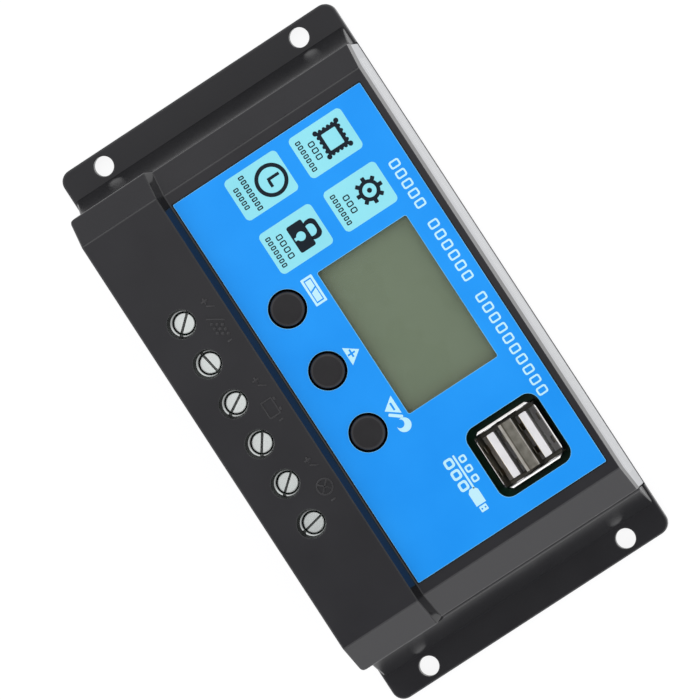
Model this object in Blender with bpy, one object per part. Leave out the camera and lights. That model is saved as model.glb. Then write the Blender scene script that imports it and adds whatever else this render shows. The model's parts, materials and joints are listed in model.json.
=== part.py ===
"""Solar charge controller: moulded case, front label, six screw terminals and a double USB socket.

Every size below is in millimetres; build_object() turns a finished mesh into metres.
+X runs along the case, +Y points at the heat sink side, +Z out of the front.
The origin is the centre of the case's flat back.
"""

import math

import bmesh
import bpy
from mathutils import Matrix, Vector

MM = 0.001
GAP = 0.3

# ---------------------------------------------------------------- overall case
CASE_LENGTH = 150.0
CASE_WIDTH = 78.0
HOOD_TOP = 35.0
PANEL_TOP = 32.0
WALL = 2.0

# Rear housing: mounting flanges and a shallow tub with sloping end walls.
FLANGE_THICK = 3.0
FLANGE_CORNER = 3.0
TUB_FOOT = 67.8
TUB_HEAD = 63.3
SEAM_Z = 12.5
TUB_SIDE_INSET = 0.6
MOUNT_HOLE_R = 2.45
MOUNT_HOLE_X = 71.25
MOUNT_HOLE_Y = 28.1

# Front cover: a raised terminal hood (-Y side) and the lower label panel (+Y side).
HOOD_END = 63.45
HOOD_FLAT = 56.45
PANEL_END = 62.65
PANEL_FLAT = 56.1
STEP_TOP_Y = -17.8
STEP_FOOT_Y = -16.3
COVER_EDGE_R = 0.6
CAVITY_END_X = 60.4

# Case screws, driven in from the back.
BOSS_X = 57.8
BOSS_Y = 32.0
BOSS_R = 3.2
CASE_SCREW_HOLE_R = 1.65
CASE_SCREW_HEAD_R = 2.8

# ---------------------------------------------------------------- front label and what shows through it
LABEL_HALF_X = 53.1
LABEL_LOW_Y = -15.75
LABEL_HIGH_Y = 37.25
LABEL_THICK = 0.3
WINDOW_CENTRE = (-1.3, 16.75)
WINDOW_SIZE = (39.6, 25.1)
BUTTON_Y = -6.3
BUTTON_PITCH = 17.36
BUTTON_MIDDLE_X = -0.45
BUTTON_R = 4.1
BUTTON_HOLE_R = 4.5
BUTTON_TRAVEL = 0.5
USB_CENTRE = (38.7, 21.9)
USB_HOLE_SIZE = (18.9, 19.9)
USB_HOLE_R = 3.0
USB_SHELL_SIZE = (14.6, 16.3)
USB_PITCH = 9.0
USB_POCKET_SIZE = (12.6, 6.4)
USB_TOP = 31.3

# ---------------------------------------------------------------- terminals
TERMINAL_COUNT = 6
TERMINAL_PITCH = 11.2
TERMINAL_MIDDLE_X = -0.4
TERMINAL_Y = -29.0
DRIVER_HOLE_R = 3.2
CHIMNEY_R = 4.5
SCREW_HEAD_R = 2.5
SCREW_SHANK_R = 1.8
SCREW_TOP = 29.6
SCREW_HEAD_THICK = 2.4
SCREW_TIP = 17.6
SLOT_WIDTH = 1.0
SLOT_DEPTH = 1.1
SLOT_ANGLES = (-48.0, 10.0, -60.0, -35.0, -50.0, -78.0)
BLOCK_BASE = 8.3
BLOCK_TOP = 29.3
BLOCK_FRONT_Y = -36.7
BLOCK_BACK_Y = -20.5
BLOCK_HALF_X = 33.8
CAGE_HALF_X = 4.0
CAGE_HALF_Y = 3.3
CAGE_BASE = 9.9
CAGE_TOP = 19.3
CAGE_SIDE = 1.0
CAGE_FLOOR = 1.2
CAGE_ROOF = 1.4
CONTACT_HALF_X = 2.6
CONTACT_LOW = 15.9
CONTACT_THICK = 1.4
ENTRY_HALF_X = 4.2
ENTRY_LOW = 10.2
ENTRY_HIGH = 19.5

# ---------------------------------------------------------------- heat sink side
PLATE_HALF_X = 62.5
PLATE_SHOULDER_X = 56.3
PLATE_BASE = 1.5
PLATE_SHOULDER_Z = 17.4
PLATE_TOP = 23.3
PLATE_INNER_Y = 36.9
PLATE_OUTER_Y = 38.9
TRANSISTOR_X = (-38.0, -14.0, 10.0)
TRANSISTOR_BACK_Y = 35.9
TRANSISTOR_BOLT_Z = 20.7

# ---------------------------------------------------------------- boards
BOARD_THICK = 1.6
POWER_BOARD_Z = 6.4
CONTROL_BOARD_Z = 17.0
POST_X = 49.0

BLACK_PLASTIC = ((0.020, 0.020, 0.023), 0.38, 0.0)
BLUE_LABEL = ((0.02, 0.30, 0.90), 0.30, 0.0)
CLEAR_PLASTIC = ((0.20, 0.22, 0.17), 0.10, 0.0)
LCD_GREY = ((0.16, 0.19, 0.13), 0.15, 0.0)
WHITE_PLASTIC = ((0.80, 0.80, 0.78), 0.45, 0.0)
BOARD_GREEN = ((0.02, 0.16, 0.07), 0.45, 0.0)
TERMINAL_GREEN = ((0.01, 0.12, 0.06), 0.45, 0.0)
COMPONENT_BLACK = ((0.015, 0.015, 0.016), 0.55, 0.0)
NICKEL = ((0.70, 0.72, 0.70), 0.25, 1.0)
STEEL = ((0.55, 0.55, 0.56), 0.35, 1.0)
ALUMINIUM = ((0.78, 0.79, 0.80), 0.40, 1.0)
TINNED_BRASS = ((0.72, 0.68, 0.58), 0.30, 1.0)
SILICONE_GREY = ((0.45, 0.47, 0.50), 0.80, 0.0)
RUBBER_BLACK = ((0.022, 0.022, 0.024), 0.60, 0.0)
CAPACITOR_SLEEVE = ((0.03, 0.04, 0.10), 0.35, 0.0)
FERRITE = ((0.08, 0.09, 0.08), 0.60, 0.0)


# ---------------------------------------------------------------- scene and mesh helpers
def clear_scene():
    for old in list(bpy.data.objects):
        bpy.data.objects.remove(old, do_unlink=True)


def make_material(name, recipe):
    colour, roughness, metallic = recipe
    material = bpy.data.materials.new(name)
    material.use_nodes = True
    shader = material.node_tree.nodes["Principled BSDF"]
    shader.inputs["Base Color"].default_value = (*colour, 1.0)
    shader.inputs["Roughness"].default_value = roughness
    shader.inputs["Metallic"].default_value = metallic
    return material


def build_object(name, bm, origin=(0.0, 0.0, 0.0), recipe=None, parent=None):
    """Turn a bmesh in millimetres into an object in metres whose origin is given in millimetres."""
    bmesh.ops.recalc_face_normals(bm, faces=bm.faces)
    bmesh.ops.translate(bm, verts=bm.verts, vec=-Vector(origin))
    bmesh.ops.scale(bm, verts=bm.verts, vec=(MM, MM, MM))
    mesh = bpy.data.meshes.new(name)
    bm.to_mesh(mesh)
    bm.free()
    mesh.shade_smooth()
    mesh.set_sharp_from_angle(angle=math.radians(35))
    obj = bpy.data.objects.new(name, mesh)
    obj.location = Vector(origin) * MM
    bpy.context.scene.collection.objects.link(obj)
    if recipe is not None:
        mesh.materials.append(make_material(name, recipe))
    if parent is not None:
        obj.location -= parent.location
        obj.parent = parent
    return obj


def boolean(obj, operation, bm, label):
    """Cut or join a helper solid, which is left out of the finished part."""
    helper = build_object(f"{obj.name}_{label}", bm)
    helper.hide_render = True
    helper.display_type = "WIRE"
    modifier = obj.modifiers.new(label, "BOOLEAN")
    modifier.operation = operation
    modifier.solver = "EXACT"
    modifier.object = helper
    return helper


def round_edges(obj, radius, segments=2, angle=30.0):
    modifier = obj.modifiers.new("rounded edges", "BEVEL")
    modifier.width = radius * MM
    modifier.segments = segments
    modifier.limit_method = "ANGLE"
    modifier.angle_limit = math.radians(angle)


def add_box(bm, low, high):
    size = [top - bottom for bottom, top in zip(low, high)]
    centre = [(top + bottom) / 2 for bottom, top in zip(low, high)]
    placing = Matrix.Translation(centre) @ Matrix.Diagonal((*size, 1.0))
    bmesh.ops.create_cube(bm, size=1.0, matrix=placing)


def add_cylinder(bm, centre, radius, low, high, segments=24, axis="Z"):
    """A cylinder along X, Y or Z; centre holds its two other coordinates, low and high its ends."""
    middle = (low + high) / 2
    place = {
        "X": (middle, centre[0], centre[1]),
        "Y": (centre[0], middle, centre[1]),
        "Z": (centre[0], centre[1], middle),
    }[axis]
    turn = {
        "X": Matrix.Rotation(math.pi / 2, 4, "Y"),
        "Y": Matrix.Rotation(-math.pi / 2, 4, "X"),
        "Z": Matrix.Identity(4),
    }[axis]
    bmesh.ops.create_cone(
        bm,
        cap_ends=True,
        segments=segments,
        radius1=radius,
        radius2=radius,
        depth=high - low,
        matrix=Matrix.Translation(place) @ turn,
    )


def add_turned(bm, profile, centre, segments=24):
    """Spin a profile of (radius, z) points, which starts and ends on the axis, about a vertical line."""
    x, y = centre
    points = [bm.verts.new((x + radius, y, z)) for radius, z in profile]
    edges = [bm.edges.new(pair) for pair in zip(points, points[1:])]
    bmesh.ops.spin(
        bm,
        geom=points + edges,
        cent=(x, y, 0.0),
        axis=(0.0, 0.0, 1.0),
        angle=math.tau,
        steps=segments,
        use_merge=True,
    )
    bmesh.ops.remove_doubles(bm, verts=bm.verts, dist=0.001)


def add_prism(bm, outline, low, high, axis="Z"):
    """Extrude an outline: its points are (x, y) for axis Z and (x, z) for axis Y."""
    if axis == "Z":
        base = [bm.verts.new((u, v, low)) for u, v in outline]
        shift = (0.0, 0.0, high - low)
    else:
        base = [bm.verts.new((u, low, v)) for u, v in outline]
        shift = (0.0, high - low, 0.0)
    face = bm.faces.new(base)
    extruded = bmesh.ops.extrude_face_region(bm, geom=[face])["geom"]
    moved = [item for item in extruded if isinstance(item, bmesh.types.BMVert)]
    bmesh.ops.translate(bm, verts=moved, vec=shift)
    bm.faces.ensure_lookup_table()


def add_loft(bm, rings):
    """Join rings of equally many points into one closed body."""
    loops = [[bm.verts.new(point) for point in ring] for ring in rings]
    count = len(loops[0])
    for first, second in zip(loops, loops[1:]):
        for i in range(count):
            j = (i + 1) % count
            bm.faces.new((first[i], first[j], second[j], second[i]))
    bm.faces.new(loops[0])
    bm.faces.new(list(reversed(loops[-1])))


def rounded_rectangle(centre, size, radius, steps=5):
    """Corner points of a rectangle with round corners, anticlockwise."""
    half_x = size[0] / 2 - radius
    half_y = size[1] / 2 - radius
    points = []
    corners = ((half_x, half_y), (-half_x, half_y), (-half_x, -half_y), (half_x, -half_y))
    for quarter, (corner_x, corner_y) in enumerate(corners):
        for step in range(steps + 1):
            angle = math.radians(90 * (quarter + step / steps))
            x = centre[0] + corner_x + radius * math.cos(angle)
            y = centre[1] + corner_y + radius * math.sin(angle)
            points.append((x, y))
    return points


def four_corners(x, y):
    return [(x, y), (-x, y), (-x, -y), (x, -y)]


def terminal_positions():
    first = TERMINAL_MIDDLE_X - TERMINAL_PITCH * (TERMINAL_COUNT - 1) / 2
    return [first + TERMINAL_PITCH * i for i in range(TERMINAL_COUNT)]


def button_positions():
    return [BUTTON_MIDDLE_X + BUTTON_PITCH * i for i in (-1, 0, 1)]


# ---------------------------------------------------------------- case
def cover_ring(y, end, flat, top, base):
    """The cover's outline seen along Y: upright end walls, 45 degree slopes and a flat top."""
    slope_foot = top - (end - flat)
    return [
        (-end, y, base),
        (-end, y, slope_foot),
        (-flat, y, top),
        (flat, y, top),
        (end, y, slope_foot),
        (end, y, base),
    ]


def make_front_cover():
    half_width = CASE_WIDTH / 2
    base = SEAM_Z + GAP / 2
    bm = bmesh.new()
    hood = (HOOD_END, HOOD_FLAT, HOOD_TOP)
    panel = (PANEL_END, PANEL_FLAT, PANEL_TOP)
    add_loft(
        bm,
        [
            cover_ring(-half_width, *hood, base),
            cover_ring(STEP_TOP_Y, *hood, base),
            cover_ring(STEP_FOOT_Y, *panel, base),
            cover_ring(half_width, *panel, base),
        ],
    )
    cover = build_object("front_cover", bm, recipe=BLACK_PLASTIC)
    round_edges(cover, COVER_EDGE_R)

    inside = bmesh.new()
    slope_shift = WALL * math.tan(math.radians(22.5))
    inner_hood = (HOOD_END - WALL, HOOD_FLAT - slope_shift, HOOD_TOP - WALL)
    inner_panel = (PANEL_END - WALL, PANEL_FLAT - slope_shift, PANEL_TOP - WALL)
    below = SEAM_Z - 4.0
    add_loft(
        inside,
        [
            cover_ring(-half_width + WALL, *inner_hood, below),
            cover_ring(STEP_TOP_Y - WALL + 0.2, *inner_hood, below),
            cover_ring(STEP_FOOT_Y - WALL + 0.2, *inner_panel, below),
            cover_ring(half_width - WALL, *inner_panel, below),
        ],
    )
    boolean(cover, "DIFFERENCE", inside, "inside")

    joined = bmesh.new()
    for x in terminal_positions():
        add_cylinder(joined, (x, TERMINAL_Y), CHIMNEY_R, BLOCK_TOP + GAP, HOOD_TOP - 1.0, 32)
    for x, y in four_corners(BOSS_X, BOSS_Y):
        top = (HOOD_TOP if y < 0 else PANEL_TOP) - 5.0
        add_cylinder(joined, (x, y), BOSS_R, base + GAP, top)
    for x, y in ((-POST_X, -11.5), (POST_X, -11.5), (-POST_X, 27.0), (POST_X + 1.0, 27.0)):
        add_cylinder(joined, (x, y), 1.8, CONTROL_BOARD_Z + BOARD_THICK + GAP, PANEL_TOP - 1.0, 12)
    boolean(cover, "UNION", joined, "bosses")

    cut = bmesh.new()
    for x in terminal_positions():
        add_cylinder(cut, (x, TERMINAL_Y), DRIVER_HOLE_R, BLOCK_TOP - 1.0, HOOD_TOP + 2.0, 32)
        add_box(
            cut,
            (x - ENTRY_HALF_X, -half_width - 2.0, below),
            (x + ENTRY_HALF_X, -half_width + WALL + 1.0, ENTRY_HIGH),
        )
    for x, y in four_corners(BOSS_X, BOSS_Y):
        add_cylinder(cut, (x, y), CASE_SCREW_HOLE_R, below, 20.0, 16)
    add_box(
        cut,
        (-LABEL_HALF_X - GAP, LABEL_LOW_Y - GAP, PANEL_TOP - LABEL_THICK - GAP),
        (LABEL_HALF_X + GAP, LABEL_HIGH_Y + GAP, HOOD_TOP + 2.0),
    )
    boolean(cover, "DIFFERENCE", cut, "pockets")

    through = bmesh.new()
    low = PANEL_TOP - WALL - 2.0
    high = PANEL_TOP + 2.0
    for x in button_positions():
        add_cylinder(through, (x, BUTTON_Y), BUTTON_HOLE_R, low, high, 32)
    add_prism(through, rounded_rectangle(USB_CENTRE, USB_HOLE_SIZE, USB_HOLE_R), low, high)
    window = [size + 1.0 for size in WINDOW_SIZE]
    add_prism(through, rounded_rectangle(WINDOW_CENTRE, window, 0.8, 2), low, high)
    add_prism(through, plate_outline(GAP, -6.0), PLATE_INNER_Y - GAP, half_width + 2.0, "Y")
    boolean(cover, "DIFFERENCE", through, "openings")
    return cover


def make_rear_housing():
    half_width = CASE_WIDTH / 2
    tub_top = SEAM_Z - GAP / 2
    bm = bmesh.new()
    outline = rounded_rectangle((0.0, 0.0), (CASE_LENGTH, CASE_WIDTH), FLANGE_CORNER, 6)
    add_prism(bm, outline, 0.0, FLANGE_THICK)
    housing = build_object("rear_housing", bm, recipe=BLACK_PLASTIC)
    round_edges(housing, 0.4, 1, 60.0)

    tub = bmesh.new()
    lean = (TUB_FOOT - TUB_HEAD) / (tub_top - FLANGE_THICK)
    tub_base = FLANGE_THICK - 1.0
    side = half_width - TUB_SIDE_INSET
    low_x = TUB_FOOT + lean
    add_loft(
        tub,
        [
            [(x, y, z) for x, y in reversed(four_corners(half_x, side))]
            for half_x, z in ((low_x, tub_base), (TUB_HEAD, tub_top))
        ],
    )
    boolean(housing, "UNION", tub, "tub")

    hollow = bmesh.new()
    floor = WALL
    add_box(
        hollow,
        (-CAVITY_END_X, -half_width + WALL, floor),
        (CAVITY_END_X, PLATE_INNER_Y, tub_top + 5.0),
    )
    boolean(housing, "DIFFERENCE", hollow, "inside")

    joined = bmesh.new()
    for x, y in four_corners(BOSS_X, BOSS_Y):
        add_cylinder(joined, (x, y), BOSS_R, floor - 1.0, tub_top - GAP)
    for x, y in four_corners(POST_X, 30.0):
        add_cylinder(joined, (x, y), 2.0, floor - 1.0, POWER_BOARD_Z - GAP, 12)
    boolean(housing, "UNION", joined, "bosses")

    cut = bmesh.new()
    for x, y in four_corners(BOSS_X, BOSS_Y):
        add_cylinder(cut, (x, y), CASE_SCREW_HOLE_R, -1.0, tub_top + 1.0, 16)
    for x, y in four_corners(MOUNT_HOLE_X, MOUNT_HOLE_Y):
        add_cylinder(cut, (x, y), MOUNT_HOLE_R, -1.0, FLANGE_THICK + 1.0, 32)
    for x in terminal_positions():
        add_box(
            cut,
            (x - ENTRY_HALF_X, -half_width - 1.0, ENTRY_LOW),
            (x + ENTRY_HALF_X, -half_width + WALL + 1.0, tub_top + 1.0),
        )
    add_prism(cut, plate_outline(GAP, PLATE_BASE - GAP), PLATE_INNER_Y - GAP, half_width + 2.0, "Y")
    boolean(housing, "DIFFERENCE", cut, "holes")

    counterbores = bmesh.new()
    for x, y in four_corners(BOSS_X, BOSS_Y):
        add_cylinder(counterbores, (x, y), CASE_SCREW_HEAD_R + GAP, -1.0, 3.0, 20)
    boolean(housing, "DIFFERENCE", counterbores, "counterbores")
    return housing


def make_case_screws():
    for number, (x, y) in enumerate(four_corners(BOSS_X, BOSS_Y), 1):
        bm = bmesh.new()
        shank = CASE_SCREW_HOLE_R - GAP
        profile = [(0.0, 0.4), (2.2, 0.4), (CASE_SCREW_HEAD_R, 1.0), (CASE_SCREW_HEAD_R, 2.7)]
        profile += [(shank, 2.7), (shank, 18.0), (0.0, 18.8)]
        add_turned(bm, profile, (x, y), 16)
        screw = build_object(f"case_screw_{number}", bm, (x, y, 0.0), STEEL)
        recess = bmesh.new()
        add_box(recess, (x - 1.6, y - 0.4, -0.5), (x + 1.6, y + 0.4, 1.4))
        boolean(screw, "DIFFERENCE", recess, "slot")


# ---------------------------------------------------------------- label and display
def make_label():
    bottom = PANEL_TOP - LABEL_THICK
    bm = bmesh.new()
    add_box(bm, (-LABEL_HALF_X, LABEL_LOW_Y, bottom), (LABEL_HALF_X, LABEL_HIGH_Y, PANEL_TOP))
    label = build_object("label_overlay", bm, recipe=BLUE_LABEL)
    cut = bmesh.new()
    for x in button_positions():
        add_cylinder(cut, (x, BUTTON_Y), BUTTON_HOLE_R, bottom - 1.0, PANEL_TOP + 1.0, 32)
    usb = rounded_rectangle(USB_CENTRE, USB_HOLE_SIZE, USB_HOLE_R)
    add_prism(cut, usb, bottom - 1.0, PANEL_TOP + 1.0)
    add_prism(cut, rounded_rectangle(WINDOW_CENTRE, WINDOW_SIZE, 0.5, 2), bottom - 1.0, PANEL_TOP + 1.0)
    boolean(label, "DIFFERENCE", cut, "windows")


def make_display():
    x, y = WINDOW_CENTRE
    under_label = PANEL_TOP - LABEL_THICK - GAP
    bm = bmesh.new()
    pane = [size + 0.4 for size in WINDOW_SIZE]
    add_prism(bm, rounded_rectangle(WINDOW_CENTRE, pane, 0.5, 2), under_label - 1.2, under_label)
    build_object("display_window", bm, recipe=CLEAR_PLASTIC)

    glass_top = PANEL_TOP - WALL - GAP
    glass_base = glass_top - 2.4
    bm = bmesh.new()
    add_box(bm, (x - 21.5, y - 15.0, glass_base), (x + 21.5, y + 13.4, glass_top))
    build_object("lcd_glass", bm, recipe=LCD_GREY)

    frame_base = CONTROL_BOARD_Z + BOARD_THICK + GAP
    frame_top = glass_base - GAP
    bm = bmesh.new()
    add_box(bm, (x - 22.2, y - 15.4, frame_base), (x + 22.2, y + 13.6, frame_top))
    frame = build_object("lcd_backlight_frame", bm, recipe=WHITE_PLASTIC)
    hollow = bmesh.new()
    add_box(hollow, (x - 20.2, y - 13.4, frame_base + 2.0), (x + 20.2, y + 11.6, frame_top + 1.0))
    boolean(frame, "DIFFERENCE", hollow, "inside")


# ---------------------------------------------------------------- boards and parts on them
def make_boards():
    bm = bmesh.new()
    add_box(bm, (-53.0, -36.5, POWER_BOARD_Z), (53.0, 34.5, POWER_BOARD_Z + BOARD_THICK))
    build_object("power_board", bm, recipe=BOARD_GREEN)
    bm = bmesh.new()
    add_box(bm, (-52.0, -14.5, CONTROL_BOARD_Z), (52.0, 30.6, CONTROL_BOARD_Z + BOARD_THICK))
    build_object("control_board", bm, recipe=BOARD_GREEN)
    bm = bmesh.new()
    board_face = POWER_BOARD_Z + BOARD_THICK + GAP
    add_box(bm, (-48.0, -13.0, board_face), (-28.0, -10.4, CONTROL_BOARD_Z - GAP))
    build_object("board_header", bm, recipe=COMPONENT_BLACK)


def make_board_components():
    board_face = POWER_BOARD_Z + BOARD_THICK + GAP
    for number, x in enumerate((-37.0, -17.0), 1):
        bm = bmesh.new()
        add_cylinder(bm, (6.0, board_face + 4.0), 4.0, x - 6.0, x + 6.0, 20, "X")
        can = build_object(f"capacitor_{number}", bm, (x, 6.0, board_face + 4.0), CAPACITOR_SLEEVE)
        round_edges(can, 0.4, 1, 60.0)

    bm = bmesh.new()
    inner, outer, base, top = 3.5, 7.5, board_face, board_face + 6.5
    ring = [(inner, base), (outer, base), (outer, top), (inner, top)]
    points = [bm.verts.new((10.0 + radius, 8.0, z)) for radius, z in ring]
    edges = [bm.edges.new((points[i], points[(i + 1) % 4])) for i in range(4)]
    bmesh.ops.spin(
        bm,
        geom=points + edges,
        cent=(10.0, 8.0, 0.0),
        axis=(0.0, 0.0, 1.0),
        angle=math.tau,
        steps=20,
        use_merge=True,
    )
    choke = build_object("inductor", bm, (10.0, 8.0, 0.0), FERRITE)
    round_edges(choke, 0.7, 1, 60.0)

    chip_base = CONTROL_BOARD_Z + BOARD_THICK + GAP
    bm = bmesh.new()
    add_box(bm, (-42.0, 6.0, chip_base), (-32.0, 16.0, chip_base + 1.4))
    build_object("controller_chip", bm, recipe=COMPONENT_BLACK)


# ---------------------------------------------------------------- heat sink side
def plate_outline(grow, base):
    """The side plate seen along Y, with its two upper corners cut off."""
    wide = PLATE_HALF_X + grow
    narrow = PLATE_SHOULDER_X + grow
    shoulder = PLATE_SHOULDER_Z + grow
    top = PLATE_TOP + grow
    return [(-wide, base), (wide, base), (wide, shoulder), (narrow, top), (-narrow, top), (-wide, shoulder)]


def make_heat_sink():
    bm = bmesh.new()
    add_prism(bm, plate_outline(0.0, PLATE_BASE), PLATE_INNER_Y, PLATE_OUTER_Y, "Y")
    plate = build_object("heat_sink_plate", bm, recipe=ALUMINIUM)
    pad_back = TRANSISTOR_BACK_Y + GAP
    bm = bmesh.new()
    low_x = TRANSISTOR_X[0] - 8.0
    high_x = TRANSISTOR_X[-1] + 8.0
    add_box(bm, (low_x, pad_back, 9.0), (high_x, PLATE_INNER_Y - GAP, PLATE_TOP))
    pad = build_object("thermal_pad", bm, recipe=SILICONE_GREY)
    holes = bmesh.new()
    clearances = bmesh.new()
    for x in TRANSISTOR_X:
        add_cylinder(holes, (x, TRANSISTOR_BOLT_Z), 1.6, PLATE_INNER_Y - 1.0, PLATE_OUTER_Y - 0.5, 16, "Y")
        add_cylinder(clearances, (x, TRANSISTOR_BOLT_Z), 1.6, pad_back - 1.0, PLATE_INNER_Y + 1.0, 16, "Y")
    boolean(plate, "DIFFERENCE", holes, "tapped_holes")
    boolean(pad, "DIFFERENCE", clearances, "holes")


def make_transistors():
    back = TRANSISTOR_BACK_Y
    tab_front = back - 1.3
    board_face = POWER_BOARD_Z + BOARD_THICK + GAP
    body_top = TRANSISTOR_BOLT_Z - 3.1
    for number, x in enumerate(TRANSISTOR_X, 1):
        bm = bmesh.new()
        add_box(bm, (x - 5.0, back - 4.4, 9.8), (x + 5.0, back, body_top))
        transistor = build_object(f"power_transistor_{number}", bm, recipe=COMPONENT_BLACK)
        joined = bmesh.new()
        add_box(joined, (x - 5.0, tab_front, body_top - 1.0), (x + 5.0, back - 0.001, PLATE_TOP))
        for pin in (-2.54, 0.0, 2.54):
            low = (x + pin - 0.4, back - 3.2, board_face)
            add_box(joined, low, (x + pin + 0.4, back - 2.6, 11.0))
        boolean(transistor, "UNION", joined, "tab_and_legs")
        hole = bmesh.new()
        add_cylinder(hole, (x, TRANSISTOR_BOLT_Z), 1.7, tab_front - 1.0, back + 1.0, 16, "Y")
        boolean(transistor, "DIFFERENCE", hole, "hole")

        bm = bmesh.new()
        head_back = tab_front - GAP
        add_cylinder(bm, (x, TRANSISTOR_BOLT_Z), 2.6, head_back - 1.8, head_back, 16, "Y")
        screw = build_object(f"transistor_screw_{number}", bm, recipe=STEEL)
        shank = bmesh.new()
        add_cylinder(shank, (x, TRANSISTOR_BOLT_Z), 1.3, head_back - 0.5, PLATE_OUTER_Y - 0.8, 12, "Y")
        boolean(screw, "UNION", shank, "shank")
        recess = bmesh.new()
        z = TRANSISTOR_BOLT_Z
        add_box(recess, (x - 3.0, head_back - 3.0, z - 0.35), (x + 3.0, head_back - 1.0, z + 0.35))
        boolean(screw, "DIFFERENCE", recess, "slot")


# ---------------------------------------------------------------- USB socket
def make_usb():
    x, y = USB_CENTRE
    half_x, half_y = [size / 2 for size in USB_SHELL_SIZE]
    base = CONTROL_BOARD_Z + BOARD_THICK + GAP
    bm = bmesh.new()
    add_box(bm, (x - half_x, y - half_y, base), (x + half_x, y + half_y, USB_TOP))
    shell = build_object("usb_shell", bm, recipe=NICKEL)
    round_edges(shell, 0.5, 2, 60.0)
    pockets = bmesh.new()
    pocket_x, pocket_y = [size / 2 for size in USB_POCKET_SIZE]
    floor = base + 1.0
    for number, side in enumerate((-1, 1), 1):
        middle = y + side * USB_PITCH / 2
        low = (x - pocket_x, middle - pocket_y, floor)
        add_box(pockets, low, (x + pocket_x, middle + pocket_y, USB_TOP + 1.0))
        bm = bmesh.new()
        edge_x = pocket_x - GAP
        edge_y = pocket_y - GAP
        low = (x - edge_x, middle - edge_y, floor + GAP)
        add_box(bm, low, (x + edge_x, middle + edge_y, floor + GAP + 1.5))
        tongue = build_object(f"usb_tongue_{number}", bm, recipe=WHITE_PLASTIC)
        blade = bmesh.new()
        low = (x - 5.6, middle - 1.0, floor + 1.0)
        add_box(blade, low, (x + 5.6, middle + 1.0, USB_TOP - 1.6))
        boolean(tongue, "UNION", blade, "blade")
    boolean(shell, "DIFFERENCE", pockets, "sockets")


# ---------------------------------------------------------------- terminals
def make_terminal_block():
    bm = bmesh.new()
    low_x = TERMINAL_MIDDLE_X - BLOCK_HALF_X
    high_x = TERMINAL_MIDDLE_X + BLOCK_HALF_X
    add_box(bm, (low_x, BLOCK_FRONT_Y, BLOCK_BASE), (high_x, BLOCK_BACK_Y, BLOCK_TOP))
    block = build_object("terminal_block", bm, recipe=TERMINAL_GREEN)

    cell_front = BLOCK_FRONT_Y + 1.8
    cell_back = TERMINAL_Y + CAGE_HALF_Y + 0.5
    cell_top = CAGE_TOP + 4.9
    leg_back = cell_back + 3.0
    cells = bmesh.new()
    mouths = bmesh.new()
    for x in terminal_positions():
        half = CAGE_HALF_X + GAP
        add_box(cells, (x - half, cell_front, CAGE_BASE - GAP), (x + half, cell_back, cell_top))
        mouth_low = (x - 3.4, BLOCK_FRONT_Y - 1.0, 10.7)
        add_box(mouths, mouth_low, (x + 3.4, cell_front + 1.0, 16.5))
        slot = CONTACT_HALF_X + GAP
        high = CONTACT_LOW + CONTACT_THICK + GAP
        low = (x - slot, cell_back - 1.0, CONTACT_LOW - GAP)
        add_box(mouths, low, (x + slot, leg_back, high))
        head_well = SCREW_TOP - SCREW_HEAD_THICK - GAP
        add_cylinder(mouths, (x, TERMINAL_Y), SCREW_SHANK_R + GAP, cell_top - 1.0, head_well + 1.0, 20)
    boolean(block, "DIFFERENCE", cells, "cells")
    boolean(block, "DIFFERENCE", mouths, "mouths")
    wells = bmesh.new()
    for x in terminal_positions():
        head_well = SCREW_TOP - SCREW_HEAD_THICK - GAP
        add_cylinder(wells, (x, TERMINAL_Y), SCREW_HEAD_R + GAP, head_well, BLOCK_TOP + 1.0, 24)
        slot = CONTACT_HALF_X + GAP
        low = (x - slot, leg_back - 1.9, BLOCK_BASE - 1.0)
        add_box(wells, low, (x + slot, leg_back, CONTACT_LOW + 0.5))
    boolean(block, "DIFFERENCE", wells, "wells")
    return leg_back


def make_contacts(leg_back):
    for number, x in enumerate(terminal_positions(), 1):
        top = CONTACT_LOW + CONTACT_THICK
        bar_front = TERMINAL_Y - CAGE_HALF_Y - 0.5
        foot = leg_back - GAP
        board_face = POWER_BOARD_Z + BOARD_THICK + GAP
        bm = bmesh.new()
        outline = [
            (bar_front, CONTACT_LOW),
            (foot - 1.3, CONTACT_LOW),
            (foot - 1.3, board_face),
            (foot, board_face),
            (foot, top),
            (bar_front, top),
        ]
        corners = [(x - CONTACT_HALF_X, y, z) for y, z in outline]
        face = bm.faces.new([bm.verts.new(corner) for corner in corners])
        extruded = bmesh.ops.extrude_face_region(bm, geom=[face])["geom"]
        moved = [item for item in extruded if isinstance(item, bmesh.types.BMVert)]
        bmesh.ops.translate(bm, verts=moved, vec=(2 * CONTACT_HALF_X, 0.0, 0.0))
        build_object(f"terminal_contact_{number}", bm, recipe=TINNED_BRASS)


def make_clamp_cages():
    """A square ring that climbs on the screw and presses the wire up against the contact."""
    for number, x in enumerate(terminal_positions(), 1):
        origin = (x, TERMINAL_Y, CAGE_BASE)
        y_low = TERMINAL_Y - CAGE_HALF_Y
        y_high = TERMINAL_Y + CAGE_HALF_Y
        bm = bmesh.new()
        add_box(bm, (x - CAGE_HALF_X, y_low, CAGE_BASE), (x + CAGE_HALF_X, y_high, CAGE_TOP))
        cage = build_object(f"clamp_cage_{number}", bm, origin, NICKEL)
        cut = bmesh.new()
        inner_x = CAGE_HALF_X - CAGE_SIDE
        low = (x - inner_x, y_low - 1.0, CAGE_BASE + CAGE_FLOOR)
        add_box(cut, low, (x + inner_x, y_high + 1.0, CAGE_TOP - CAGE_ROOF))
        boolean(cage, "DIFFERENCE", cut, "window")
        thread = bmesh.new()
        low_z = CAGE_TOP - CAGE_ROOF - 0.8
        add_cylinder(thread, (x, TERMINAL_Y), SCREW_SHANK_R + GAP, low_z, CAGE_TOP + 1.0, 20)
        boolean(cage, "DIFFERENCE", thread, "thread")


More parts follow.
